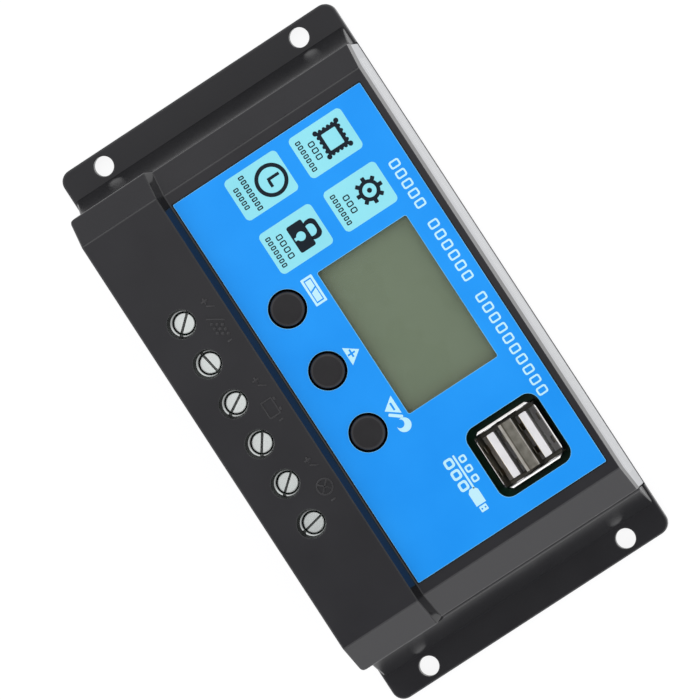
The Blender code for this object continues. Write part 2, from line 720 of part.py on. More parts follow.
def make_terminal_screws():
    for number, (x, angle) in enumerate(zip(terminal_positions(), SLOT_ANGLES), 1):
        head_base = SCREW_TOP - SCREW_HEAD_THICK
        bm = bmesh.new()
        profile = [(0.0, SCREW_TIP), (1.4, SCREW_TIP), (SCREW_SHANK_R, SCREW_TIP + 0.4)]
        profile += [(SCREW_SHANK_R, head_base), (SCREW_HEAD_R, head_base)]
        profile += [(SCREW_HEAD_R, SCREW_TOP - 0.3), (SCREW_HEAD_R - 0.3, SCREW_TOP), (0.0, SCREW_TOP)]
        add_turned(bm, profile, (x, TERMINAL_Y), 24)
        screw = build_object(f"terminal_screw_{number}", bm, (x, TERMINAL_Y, 0.0), NICKEL)
        slot = bmesh.new()
        low = (x - 4.0, TERMINAL_Y - SLOT_WIDTH / 2, SCREW_TOP - SLOT_DEPTH)
        add_box(slot, low, (x + 4.0, TERMINAL_Y + SLOT_WIDTH / 2, SCREW_TOP + 1.0))
        turn = Matrix.Rotation(math.radians(angle), 3, "Z")
        bmesh.ops.rotate(slot, verts=slot.verts, cent=(x, TERMINAL_Y, 0.0), matrix=turn)
        boolean(screw, "DIFFERENCE", slot, "slot")


# ---------------------------------------------------------------- buttons
def make_buttons():
    switch_base = CONTROL_BOARD_Z + BOARD_THICK + GAP
    switch_top = switch_base + 3.5
    cap_top = PANEL_TOP + 0.7
    collar_top = PANEL_TOP - WALL - GAP
    plunger_top = switch_top + 1.6
    for number, x in enumerate(button_positions(), 1):
        bm = bmesh.new()
        add_box(bm, (x - 3.0, BUTTON_Y - 3.0, switch_base), (x + 3.0, BUTTON_Y + 3.0, switch_top))
        switch = build_object(f"switch_body_{number}", bm, recipe=COMPONENT_BLACK)
        well = bmesh.new()
        add_cylinder(well, (x, BUTTON_Y), 1.9, switch_top - 1.5, switch_top + 1.0, 16)
        boolean(switch, "DIFFERENCE", well, "well")

        bm = bmesh.new()
        plunger_base = switch_top - 1.5 + BUTTON_TRAVEL + GAP
        add_cylinder(bm, (x, BUTTON_Y), 1.6, plunger_base, plunger_top, 16)
        build_object(f"switch_plunger_{number}", bm, (x, BUTTON_Y, 0.0), RUBBER_BLACK)

        bm = bmesh.new()
        stem = plunger_top + GAP
        profile = [(0.0, stem), (1.7, stem), (1.7, collar_top - 0.8), (5.3, collar_top - 0.8)]
        profile += [(5.3, collar_top), (BUTTON_R, collar_top), (BUTTON_R, cap_top - 0.4)]
        profile += [(BUTTON_R - 0.4, cap_top - 0.1), (0.0, cap_top)]
        add_turned(bm, profile, (x, BUTTON_Y), 32)
        build_object(f"button_cap_{number}", bm, (x, BUTTON_Y, 0.0), RUBBER_BLACK)


def main():
    clear_scene()
    make_rear_housing()
    make_front_cover()
    make_case_screws()
    make_label()
    make_display()
    make_boards()
    make_board_components()
    make_heat_sink()
    make_transistors()
    make_usb()
    leg_back = make_terminal_block()
    make_contacts(leg_back)
    make_clamp_cages()
    make_terminal_screws()
    make_buttons()


main()
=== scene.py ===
# %% [markdown]
# # Finishing a solar charge controller
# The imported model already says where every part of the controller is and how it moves. This lesson
# loads it as a fixed frame and gives each piece its finished shape and surface: a black moulded case,
# a blue printed front, a grey display, six slotted terminal screws and a double USB socket.

# %% The frame
import json
import math

import bmesh
import bpy
from mathutils import Matrix, Vector

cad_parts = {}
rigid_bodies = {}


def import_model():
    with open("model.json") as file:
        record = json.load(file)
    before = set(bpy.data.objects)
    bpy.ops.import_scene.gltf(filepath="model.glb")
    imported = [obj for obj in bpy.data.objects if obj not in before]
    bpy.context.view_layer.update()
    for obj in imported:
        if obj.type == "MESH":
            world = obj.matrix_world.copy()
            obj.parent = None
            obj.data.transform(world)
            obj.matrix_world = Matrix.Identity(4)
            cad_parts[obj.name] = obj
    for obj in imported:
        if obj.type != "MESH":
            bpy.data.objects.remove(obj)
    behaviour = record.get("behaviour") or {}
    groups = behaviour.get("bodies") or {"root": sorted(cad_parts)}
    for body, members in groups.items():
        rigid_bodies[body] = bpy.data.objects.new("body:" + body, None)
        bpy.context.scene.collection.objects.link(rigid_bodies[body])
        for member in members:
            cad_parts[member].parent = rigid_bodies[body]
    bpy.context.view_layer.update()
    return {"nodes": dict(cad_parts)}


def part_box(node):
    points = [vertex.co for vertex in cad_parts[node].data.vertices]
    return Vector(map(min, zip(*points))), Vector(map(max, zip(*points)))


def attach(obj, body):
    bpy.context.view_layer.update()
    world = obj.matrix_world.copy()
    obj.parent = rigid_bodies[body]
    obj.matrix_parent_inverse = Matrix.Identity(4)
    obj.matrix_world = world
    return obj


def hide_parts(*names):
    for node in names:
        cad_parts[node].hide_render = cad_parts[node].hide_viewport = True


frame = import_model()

MM = 0.001

# %% [markdown]
# ## Places
# Every place is read from the frame, in millimetres, because moulded parts are drawn in millimetres.
# A fixed table of numbers would drift apart from the model as soon as a size there changed.


# %% Reading places from the frame
def span(node):
    """Lowest and highest corner of a node, in millimetres."""
    low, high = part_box(node)
    return low / MM, high / MM


def middle(node):
    low, high = span(node)
    return (low + high) / 2


terminals = [middle(f"terminal_screw_{n}") for n in range(1, 7)]
buttons = [middle(f"button_cap_{n}") for n in range(1, 4)]
cover_low, cover_high = span("front_cover")
base_low, base_high = span("rear_housing")
label_low, label_high = span("label_overlay")
window = middle("display_window")
window_low, window_high = span("display_window")
socket = middle("usb_shell")
socket_low, socket_high = span("usb_shell")
HOOD_TOP = cover_high.z
PANEL_TOP = label_high.z
print("terminals along X:", [round(t.x, 1) for t in terminals])

# %% [markdown]
# ## Solids to build from
# Moulded and stamped parts come down to four shapes: a plate with rounded corners, a prism, a disc
# and a turned part. Each helper hands back its own small mesh, so a piece is an assembly of them.
# Boolean cuts are worked out once and kept as mesh, which lets the rims be rounded afterwards.


# %% Plates, prisms, discs and turned parts
MERGE = 0.0005  # points nearer than this, in millimetres, are one point


def raised(part, shift):
    bmesh.ops.recalc_face_normals(part, faces=part.faces)
    extruded = bmesh.ops.extrude_face_region(part, geom=part.faces[:])["geom"]
    tops = [item for item in extruded if isinstance(item, bmesh.types.BMVert)]
    bmesh.ops.translate(part, verts=tops, vec=shift)
    bmesh.ops.recalc_face_normals(part, faces=part.faces)
    return part


def plate(centre, size, radius, low, high, steps=6, turn=0.0):
    """A flat plate with round corners, between two heights."""
    part = bmesh.new()
    placing = Matrix.Translation((centre[0], centre[1], low)) @ Matrix.Rotation(turn, 4, "Z")
    placing = placing @ Matrix.Diagonal((size[0], size[1], 1.0, 1.0))
    bmesh.ops.create_grid(part, x_segments=1, y_segments=1, size=0.5, matrix=placing)
    if radius > 0:
        bmesh.ops.bevel(
            part, geom=part.verts[:], offset=radius, offset_type="OFFSET", segments=steps,
            profile=0.5, affect="VERTICES", material=-1,
        )
    return raised(part, (0.0, 0.0, high - low))


def block(low, high):
    centre = ((low[0] + high[0]) / 2, (low[1] + high[1]) / 2)
    return plate(centre, (high[0] - low[0], high[1] - low[1]), 0.0, low[2], high[2])


def prism(outline, low, high, axis="Z"):
    """Extrude an outline: (x, y) points along Z, (x, z) points along Y, or (y, z) points along X."""
    part = bmesh.new()
    spot = {"Z": lambda u, v: (u, v, low), "Y": lambda u, v: (u, low, v), "X": lambda u, v: (low, u, v)}
    shift = {"Z": (0, 0, 1), "Y": (0, 1, 0), "X": (1, 0, 0)}[axis]
    part.faces.new([part.verts.new(spot[axis](u, v)) for u, v in outline])
    return raised(part, Vector(shift) * (high - low))


def disc(centre, radius, low, high, segments=48):
    part = bmesh.new()
    bmesh.ops.create_cone(
        part, cap_ends=True, segments=segments, radius1=radius, radius2=radius, depth=high - low,
        matrix=Matrix.Translation((centre[0], centre[1], (low + high) / 2)),
    )
    return part


def turned(profile, centre, segments=48):
    """Spin (radius, z) points about an upright axis."""
    part = bmesh.new()
    points = [part.verts.new((centre[0] + radius, centre[1], z)) for radius, z in profile]
    edges = [part.edges.new(pair) for pair in zip(points, points[1:])]
    bmesh.ops.spin(
        part, geom=points + edges, cent=(centre[0], centre[1], 0.0), axis=(0.0, 0.0, 1.0),
        angle=math.tau, steps=segments, use_merge=True,
    )
    bmesh.ops.remove_doubles(part, verts=part.verts, dist=MERGE)
    bmesh.ops.recalc_face_normals(part, faces=part.faces)
    return part


def lofted(rings):
    """Bridge rings of equally many points into one closed body."""
    part = bmesh.new()
    loops = []
    for ring in rings:
        points = [part.verts.new(point) for point in ring]
        loops.append([part.edges.new(pair) for pair in zip(points, points[1:] + points[:1])])
    for first, second in zip(loops, loops[1:]):
        bmesh.ops.bridge_loops(part, edges=first + second)
    bmesh.ops.edgeloop_fill(part, edges=loops[0])
    bmesh.ops.edgeloop_fill(part, edges=loops[-1])
    bmesh.ops.recalc_face_normals(part, faces=part.faces)
    return part


def moved(part, spot, turn=0.0, axis="Z"):
    """Turn a mesh about its own origin by an angle in radians, then put it at a place."""
    bmesh.ops.rotate(part, verts=part.verts, matrix=Matrix.Rotation(turn, 3, axis))
    bmesh.ops.translate(part, verts=part.verts, vec=spot)
    return part


def ribbon(profile, low_x, high_x, thickness):
    """Thin sheet that follows (y, z) points, between two places along X."""
    part = bmesh.new()
    for first, second in zip(profile, profile[1:]):
        ends = [(low_x, *first), (high_x, *first), (high_x, *second), (low_x, *second)]
        part.faces.new([part.verts.new(end) for end in ends])
    bmesh.ops.remove_doubles(part, verts=part.verts, dist=2 * MERGE)
    bmesh.ops.solidify(part, geom=part.faces[:], thickness=thickness)
    return part


def quarter_round(inner, z, radius):
    """The five inner points of a turned profile's rounded rim."""
    angles = [math.radians(90 * step / 6) for step in range(1, 6)]
    return [(inner + radius * math.cos(a), z + radius * math.sin(a)) for a in angles]


def joined(parts):
    """Put several small meshes in one."""
    whole = bmesh.new()
    for part in parts:
        mesh = bpy.data.meshes.new("part")
        part.to_mesh(mesh)
        part.free()
        whole.from_mesh(mesh)
        bpy.data.meshes.remove(mesh)
    return whole


# %% Cutting and rounding
def evaluated(body, *steps):
    """Run a mesh through modifiers, each a type and its settings, and hand back the result."""
    made = []

    def stand_in(bm):
        mesh = bpy.data.meshes.new("work")
        bm.to_mesh(mesh)
        bm.free()
        obj = bpy.data.objects.new("work", mesh)
        bpy.context.scene.collection.objects.link(obj)
        made.append(obj)
        return obj

    work = stand_in(body)
    for kind, settings in steps:
        modifier = work.modifiers.new(kind, kind)
        for key, value in settings.items():
            setattr(modifier, key, stand_in(value) if isinstance(value, bmesh.types.BMesh) else value)
    bpy.context.view_layer.update()
    result = bmesh.new()
    changed = work.evaluated_get(bpy.context.evaluated_depsgraph_get())
    result.from_mesh(changed.to_mesh())
    changed.to_mesh_clear()
    for obj in made:
        mesh = obj.data
        bpy.data.objects.remove(obj, do_unlink=True)
        bpy.data.meshes.remove(mesh)
    return result


def cut(body, *parts):
    steps = [("BOOLEAN", {"operation": "DIFFERENCE", "solver": "EXACT", "object": p}) for p in parts]
    return evaluated(body, *steps)


def united(body, *parts):
    steps = [("BOOLEAN", {"operation": "UNION", "solver": "EXACT", "object": p}) for p in parts]
    return evaluated(body, *steps)


def rounded(body, radius, segments, chosen=None, angle=30.0):
    """Round the edges that turn by more than the angle and that the chooser accepts."""
    bmesh.ops.remove_doubles(body, verts=body.verts, dist=MERGE)
    bmesh.ops.dissolve_limit(
        body, angle_limit=math.radians(0.5), verts=body.verts[:], edges=body.edges[:],
        delimit={"NORMAL"},
    )
    edges = []
    for edge in body.edges:
        if len(edge.link_faces) == 2 and edge.calc_face_angle() > math.radians(angle):
            spot = (edge.verts[0].co + edge.verts[1].co) / 2
            if chosen is None or chosen(spot, edge):
                edges.append(edge)
    if edges:
        bmesh.ops.bevel(
            body, geom=edges, offset=radius, offset_type="OFFSET", segments=segments, profile=0.5,
            affect="EDGES", material=-1, clamp_overlap=True,
        )
    return body


# %% [markdown]
# ## Surfaces as sums
# A finish is a little arithmetic: clouds of tone, fine grain and rubbed edges, added and scaled. The
# Signal class wraps one socket, so `0.3 + 0.1 * cloud` adds the Math nodes by itself. Colours go
# through Mix nodes, because a Math node would turn them grey.


# %% Signals and finishes
def maths(operation, swapped=False):
    """An operator method that adds one Math node, with its sides swapped for a reflected one."""
    def run(self, other):
        first, second = (other, self) if swapped else (self, other)
        return self.finish.node("Math", {"operation": operation}, {0: first, 1: second})
    return run


class Signal:
    """One value on its way through a material."""
    __add__ = maths("ADD")
    __radd__ = maths("ADD", True)
    __sub__ = maths("SUBTRACT")
    __mul__ = maths("MULTIPLY")
    __rmul__ = maths("MULTIPLY", True)

    def __init__(self, finish, socket):
        self.finish = finish
        self.socket = socket


class Finish:
    """A material built one node at a time around its shader."""

    def __init__(self, name, fixed):
        self.material = bpy.data.materials.new(name)
        self.material.use_nodes = True
        self.tree = self.material.node_tree
        self.shader = self.tree.nodes["Principled BSDF"]
        for key, value in fixed.items():
            self.shader.inputs[key].default_value = value

    def node(self, kind, settings=None, sockets=None, output=0):
        made = self.tree.nodes.new("ShaderNode" + kind)
        for key, value in (settings or {}).items():
            setattr(made, key, value)
        for key, value in (sockets or {}).items():
            self.feed(made.inputs[key], value)
        return Signal(self, made.outputs[output])

    def feed(self, socket, value):
        if isinstance(value, Signal):
            self.tree.links.new(value.socket, socket)
        else:
            socket.default_value = value

    def set(self, name, value):
        self.feed(self.shader.inputs[name], value)

    def place(self, stretch=(1.0, 1.0, 1.0)):
        """Object coordinates in millimetres, squeezed along each axis."""
        spot = self.node("TexCoord", output="Object")
        scale = tuple(value / MM for value in stretch)
        return self.node("Mapping", None, {"Vector": spot, "Scale": scale})

    def noise(self, place, size, detail=2.0):
        return self.node("TexNoise", None, {"Vector": place, "Scale": 1.0 / size, "Detail": detail})

    def ramp(self, value, low, high):
        sockets = {"Value": value, "From Min": low, "From Max": high, "To Min": 0.0, "To Max": 1.0}
        return self.node("MapRange", {"clamp": True}, sockets)

    def mix(self, factor, first, second):
        sockets = {0: factor, 6: colour4(first), 7: colour4(second)}
        return self.node("Mix", {"data_type": "RGBA"}, sockets, 2)

    def relief(self, height, depth):
        sockets = {"Height": height, "Distance": depth * MM, "Strength": 1.0}
        self.set("Normal", self.node("Bump", None, sockets))


def colour4(value):
    return value if isinstance(value, Signal) else (*value, 1.0)


def grained(name, dark, light, rough, fixed=None, cloud=9.0, grain=0.35, depth=0.004, spread=0.08,
            worn=None, stretch=(1.0, 1.0, 1.0)):
    """Clouds of tone, a fine grain that also roughens, and paler rubbed edges."""
    finish = Finish(name, fixed or {})
    place = finish.place(stretch)
    clouds = finish.ramp(finish.noise(place, cloud, 3.0), 0.3, 0.7)
    fine = finish.noise(place, grain, 1.0)
    tone = finish.mix(clouds, dark, light)
    surface = rough - spread / 2 + spread * (0.6 * clouds + 0.4 * fine)
    if worn is not None:
        edge = finish.node("Attribute", {"attribute_name": "edge"}, None, 2)
        rubbed = edge * (0.45 + 0.55 * clouds)
        tone = finish.mix(rubbed, tone, worn)
        surface = surface - 0.10 * rubbed
    finish.set("Base Color", tone)
    finish.set("Roughness", surface)
    finish.relief(fine, depth)
    return finish.material


# %% [markdown]
# ## A finished piece
# Each mesh is scaled to metres with its place inside it, so the object itself stays at the origin.
# Faces that belong to a rounded edge are marked in an attribute, which the wear in the finish reads.


# %% Turning a mesh into a piece
UPRIGHT = [(0, 0, 1), (0, 0, -1)]
SQUARE = UPRIGHT + [(1, 0, 0), (-1, 0, 0), (0, 1, 0), (0, -1, 0)]
STILL_FLAT = 0.992  # cosine to a flat direction, below which a face belongs to a rounded edge


def finished(name, bm, finishes, body="case", replaces=(), pick=None, flats=None, smooth=32.0):
    """Make the object; pick chooses a finish by face normal and centre, flats are unworn directions."""
    bmesh.ops.remove_doubles(bm, verts=bm.verts, dist=MERGE)
    bmesh.ops.recalc_face_normals(bm, faces=bm.faces)
    edge_layer = bm.faces.layers.float.new("edge")
    directions = [Vector(d).normalized() for d in (flats or [])]
    for face in bm.faces:
        if pick is not None:
            face.material_index = pick(face.normal, face.calc_center_median())
        if directions:
            level = max(face.normal.dot(d) for d in directions)
            face[edge_layer] = 1.0 if level < STILL_FLAT and abs(face.normal.z) > 0.03 else 0.0
    bmesh.ops.scale(bm, verts=bm.verts, vec=(MM, MM, MM))
    mesh = bpy.data.meshes.new(name)
    bm.to_mesh(mesh)
    bm.free()
    for finish in finishes:
        mesh.materials.append(finish)
    mesh.shade_smooth()
    mesh.set_sharp_from_angle(angle=math.radians(smooth))
    obj = bpy.data.objects.new(name, mesh)
    bpy.context.scene.collection.objects.link(obj)
    weighted = obj.modifiers.new("weighted normals", "WEIGHTED_NORMAL")
    weighted.keep_sharp = True
    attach(obj, body)
    if replaces:
        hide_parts(*replaces)
    print(f"{name}: {len(mesh.polygons)} faces, rides on {body}")


# %% [markdown]
# ## Black case plastic
# The case is black moulded plastic. Its broad faces come from a spark-eroded tool and are satin; the
# walls that the tool slides along (the step and the end walls) are polished. The tub's end walls also
# get a paler black than the rest of the case: painted light for the light they catch. The lower wall
# of each driver hole gets a far stronger gloss than plastic has, so that the screw head shows in it as
# a pale crescent; the wall above it is dull and painted darker than the case, a painted shade for the
# recess, which sets the crescent off.

# %% Case finishes
satin_black = grained(
    "satin_black_case", (0.0064, 0.0060, 0.0090), (0.0096, 0.0092, 0.0126), 0.34,
    cloud=16.0, grain=0.30, depth=0.0035, spread=0.07, worn=(0.030, 0.030, 0.033),
)
# Paler black for the tub's end walls: painted light for the light they catch, on top of their polish.
lit_end_wall_black = grained(
    "end_wall_painted_light", (0.0130, 0.0130, 0.0150), (0.0190, 0.0188, 0.0210), 0.24,
    cloud=12.0, grain=0.6, depth=0.0012, spread=0.05, worn=(0.030, 0.030, 0.032),
)
# Paler black for the raised signs on the hood: a painted highlight for the glints on their edges.
highlit_sign_black = grained(
    "sign_black_painted_highlight", (0.0200, 0.0195, 0.0225), (0.0300, 0.0290, 0.0330), 0.22,
    cloud=3.0, grain=0.5, depth=0.002, spread=0.06, worn=(0.090, 0.088, 0.095),
)
hole_black = grained(
    "hole_black_case", (0.0060, 0.0060, 0.0062), (0.0090, 0.0095, 0.0090), 0.055,
    {"Specular IOR Level": 1.0, "IOR": 2.9}, 12.0, 1.2, 0.0003, 0.02, (0.022, 0.022, 0.024),
)
# A darker, duller copy of the case black for the upper wall of each driver hole: painted shade.
dim_hole_wall_black = grained(
    "hole_wall_painted_shade", (0.0020, 0.0026, 0.0024), (0.0036, 0.0044, 0.0040), 0.55,
    {"Specular IOR Level": 0.06}, 6.0, 0.4, 0.003, 0.06, (0.012, 0.013, 0.013),
)
polished_black = grained(
    "polished_black_case", (0.0070, 0.0070, 0.0080), (0.0100, 0.0100, 0.0112), 0.15,
    {"Specular IOR Level": 0.36}, 12.0, 0.9, 0.0012, 0.05, (0.022, 0.022, 0.024),
)

# %% [markdown]
# ## Front cover
# One moulding carries the raised terminal hood and, three millimetres lower, the label panel. Both
# end in 45 degree slopes. It is made as a body lofted along the case, its long edges are rounded,
# and then the inside, the label pocket, the windows and the driver holes are cut. The driver
# holes get rounded rims last, as a moulding tool has them.

# %% Cover body
WALL = 2.0
ENTRY_HALF = 4.2
CHIMNEY_R = 4.5
COVER_END = cover_high.x
PANEL_END = COVER_END - 0.8
HOOD_FLAT = COVER_END - 7.0
PANEL_FLAT = PANEL_END - 6.55
STEP_TOP_Y = label_low.y - 2.05
STEP_FOOT_Y = label_low.y - 0.55
DRIVER_HOLE_R = 3.5
BUTTON_HOLE_R = 4.68
SOCKET_HOLE = (18.9, 19.9)
SOCKET_HOLE_R = 3.0


def cover_ring(y, end, flat, top, base):
    foot = top - (end - flat)
    half = [(flat, y, top), (end, y, foot), (end, y, base)]
    return [(-x, y, z) for x, y, z in reversed(half)] + half


hood = (COVER_END, HOOD_FLAT, HOOD_TOP)
panel = (PANEL_END, PANEL_FLAT, PANEL_TOP)
cover = lofted([
    cover_ring(cover_low.y, *hood, cover_low.z),
    cover_ring(STEP_TOP_Y, *hood, cover_low.z),
    cover_ring(STEP_FOOT_Y, *panel, cover_low.z),
    cover_ring(cover_high.y, *panel, cover_low.z),
])
# Each kind of edge gets its own share of the rounding radius.
COVER_ROUND = 1.4
CORNER_SHARE, FRONT_SHARE, STEP_SHARE, FAR_SHARE, SLOPE_SHARE = 1.0, 0.32, 0.16, 0.12, 0.26
weights = cover.edges.layers.float.new("bevel_weight_edge")
for edge in cover.edges:
    spot = (edge.verts[0].co + edge.verts[1].co) / 2
    if edge.calc_face_angle() > math.radians(32) and spot.z > cover_low.z + 0.1:
        front = abs(spot.y - cover_low.y) < 0.1
        step = STEP_TOP_Y - 0.1 < spot.y < STEP_FOOT_Y + 0.1
        far = abs(spot.y - cover_high.y) < 0.1
        upright = abs(edge.verts[0].co.z - edge.verts[1].co.z) > 12.0
        if front:
            edge[weights] = CORNER_SHARE if upright else FRONT_SHARE
        elif step:
            edge[weights] = STEP_SHARE
        else:
            edge[weights] = FAR_SHARE if far else SLOPE_SHARE
cover = evaluated(
    cover,
    ("BEVEL", {"width": COVER_ROUND, "segments": 4, "limit_method": "WEIGHT", "offset_type": "OFFSET"}),
)
print("cover body:", len(cover.faces), "faces")

# %% Cover openings
shift = WALL * math.tan(math.radians(22.5))
below = cover_low.z - 5.0
inner_hood = (COVER_END - WALL, HOOD_FLAT - shift, HOOD_TOP - WALL)
inner_panel = (PANEL_END - WALL, PANEL_FLAT - shift, PANEL_TOP - WALL)
inside = lofted([
    cover_ring(cover_low.y + WALL, *inner_hood, below),
    cover_ring(STEP_TOP_Y - WALL + 0.2, *inner_hood, below),
    cover_ring(STEP_FOOT_Y - WALL + 0.2, *inner_panel, below),
    cover_ring(cover_high.y - WALL, *inner_panel, below),
])
block_top = span("terminal_block")[1].z
chimneys = joined([disc(t, CHIMNEY_R, block_top + 0.3, HOOD_TOP - 1.0) for t in terminals])
entries = joined([
    block((t.x - ENTRY_HALF, cover_low.y - 1.0, below), (t.x + ENTRY_HALF, cover_low.y + WALL + 1.0, 19.5))
    for t in terminals
])
DRIVER_HOLE_FOOT_R = 2.68
DRAFT_FOOT = 28.0
LINER_FOOT = 28.5
LINER_TOP = 31.7
LINER_R = 3.06
WELL_R = 3.12
OPENING_FOOT = 25.0
screw_top = span("terminal_screw_1")[1].z
draft = [(0.0, DRAFT_FOOT), (DRIVER_HOLE_FOOT_R, DRAFT_FOOT), (DRIVER_HOLE_FOOT_R, screw_top + 0.1)]
draft += [(LINER_R, LINER_TOP), (WELL_R, LINER_TOP + 0.1), (DRIVER_HOLE_R, HOOD_TOP)]
draft += [(DRIVER_HOLE_R, HOOD_TOP + 2.0), (0.0, HOOD_TOP + 2.0)]
driver_holes = joined([turned(draft, t, 64) for t in terminals])
label_middle = (label_low + label_high) / 2
label_size = label_high - label_low
pocket = plate(
    label_middle, (label_size.x + 0.6, label_size.y + 0.6), 0.35, label_low.z - 0.3, HOOD_TOP + 2.0, 4
)
openings = [disc(b, BUTTON_HOLE_R, OPENING_FOOT, PANEL_TOP + 1.0, 64) for b in buttons]
openings.append(plate(socket, SOCKET_HOLE, SOCKET_HOLE_R, OPENING_FOOT, PANEL_TOP + 1.0, 8))
window_size = (39.6, 25.1)
window_seat = [size + 1.0 for size in window_size]
openings.append(plate(window, window_seat, 0.8, OPENING_FOOT, PANEL_TOP + 1.0, 3))
openings = joined(openings)
plate_low, plate_high = span("heat_sink_plate")
SHOULDER_X = 56.3
SHOULDER_Z = plate_high.z - 5.9


def plate_outline(grow, base):
    half = [(SHOULDER_X + grow, plate_high.z + grow), (plate_high.x + grow, SHOULDER_Z + grow),
            (plate_high.x + grow, base)]
    return [(-x, z) for x, z in reversed(half)] + half


side_opening = prism(plate_outline(0.3, -6.0), plate_low.y - 0.3, cover_high.y + 2.0, "Y")
cover = cut(cover, inside)
cover = united(cover, chimneys)
cover = cut(cover, driver_holes, entries, pocket, openings, side_opening)


def from_terminal(spot):
    """Distance in plan to the nearest terminal screw."""
    return min(math.hypot(spot.x - t.x, spot.y - t.y) for t in terminals)


def on_driver_rim(spot, edge):
    return abs(spot.z - HOOD_TOP) < 0.02 and from_terminal(spot) < DRIVER_HOLE_R + 0.05


cover = rounded(cover, 0.14, 3, on_driver_rim)
print("cover:", len(cover.faces), "faces")


# %% Cover piece
def cover_finish(normal, centre):
    """1 on the step, 2 on the lower wall of a driver hole and 3, in painted shade, on its upper wall."""
    if from_terminal(centre) < DRIVER_HOLE_R + 0.1 and abs(normal.z) < 0.35:
        if LINER_FOOT < centre.z < LINER_TOP:
            return 2
        if LINER_TOP < centre.z < HOOD_TOP - 0.2:
            return 3
    step = STEP_TOP_Y - 0.3 < centre.y < STEP_FOOT_Y + 0.3 and abs(normal.y) > 0.2
    return 1 if step else 0


slope = math.sqrt(0.5)
CASE_FLATS = SQUARE + [(slope, 0, slope), (-slope, 0, slope), (0, 2, 1)]
finished(
    "cover_shell", cover, [satin_black, polished_black, hole_black, dim_hole_wall_black],
    replaces=["front_cover"], pick=cover_finish, flats=CASE_FLATS,
)

# %% [markdown]
# ## Rear housing
# A shallow tub on a thin plate that sticks out at both ends as the mounting flanges, each with two
# holes. The plate is extruded with round corners, the tub with its leaning, polished end walls is
# joined on, and the inside, the holes and the screw wells on the back are cut.

# %% Rear housing
FLANGE_TOP = 3.0
TUB_FOOT = 67.8
TUB_HEAD = 63.3
MOUNT = (71.25, 28.1)
HOLE_R = 2.45
FIXING = (57.8, 32.0)


def corners(x, y):
    return [(x, y), (-x, y), (-x, -y), (x, -y)]


flange_size = (base_high.x - base_low.x, base_high.y - base_low.y)
flange = plate((0.0, 0.0), flange_size, 3.0, 0.0, FLANGE_TOP, 8)
flange = rounded(flange, 0.45, 3, lambda spot, edge: abs(edge.verts[0].co.z - edge.verts[1].co.z) < 0.1)
side = base_high.y - 0.6
tub_rings = []
lean = (TUB_FOOT - TUB_HEAD) / (base_high.z - FLANGE_TOP)
for half, z in ((TUB_FOOT + lean, FLANGE_TOP - 1.0), (TUB_HEAD, base_high.z)):
    tub_rings.append([(x, y, z) for x, y in corners(half, side)])
tub = rounded(lofted(tub_rings), 0.5, 3, lambda spot, edge: spot.z > FLANGE_TOP)
housing = united(flange, tub)
CAVITY_X = 60.4
hollow = block((-CAVITY_X, base_low.y + WALL, WALL), (CAVITY_X, plate_low.y, base_high.z + 5.0))
bosses = [disc(spot, 3.2, WALL - 1.0, base_high.z - 0.3, 32) for spot in corners(*FIXING)]
bosses += [disc(spot, 2.0, WALL - 1.0, 6.1, 24) for spot in corners(49.0, 30.0)]
holes = [disc(spot, HOLE_R, -1.0, FLANGE_TOP + 1.0, 64) for spot in corners(*MOUNT)]
holes += [disc(spot, 1.65, -1.0, base_high.z + 1.0, 32) for spot in corners(*FIXING)]
for t in terminals:
    low = (t.x - ENTRY_HALF, base_low.y - 1.0, 10.2)
    holes.append(block(low, (t.x + ENTRY_HALF, base_low.y + WALL + 1.0, base_high.z + 1.0)))
wells = [disc(spot, 3.1, -1.0, 3.0, 40) for spot in corners(*FIXING)]
wells.append(plate((0.0, 0.0), (104.0, 52.0), 4.0, -1.0, 0.35, 8))
for y in (-8.0, 8.0):
    wells.append(plate((0.0, y), (70.0, 1.2), 0.6, 0.3, 0.8, 6))
side_opening = prism(plate_outline(0.3, plate_low.z - 0.3), plate_low.y - 0.3, 42.0, "Y")
housing = cut(housing, hollow)
housing = united(housing, joined(bosses))
wells = [joined(wells[:4]), joined(wells[4:5]), joined(wells[5:])]
housing = cut(housing, joined(holes), *wells, side_opening)


def on_hole_rim(spot, edge):
    near = min((Vector(m) - Vector((spot.x, spot.y))).length for m in corners(*MOUNT))
    return near < HOLE_R + 0.05 and abs(edge.verts[0].co.z - edge.verts[1].co.z) < 0.01


housing = rounded(housing, 0.25, 3, on_hole_rim)


# 1 on the tub's end walls, which get the paler black that is painted light.
def housing_finish(normal, centre):
    return 1 if abs(normal.x) > 0.6 and centre.z > FLANGE_TOP and abs(centre.x) > 62.0 else 0


finished(
    "base_shell", housing, [satin_black, lit_end_wall_black], replaces=["rear_housing"],
    pick=housing_finish, flats=CASE_FLATS + [(0.9, 0, 0.43), (-0.9, 0, 0.43)],
)

# %% [markdown]
# ## Heat sink plate
# A stamped aluminium plate closes the long side and carries the heat out. Its face is drawn along
# its length, so the scratches run that way, and shallow grooves add a little surface.

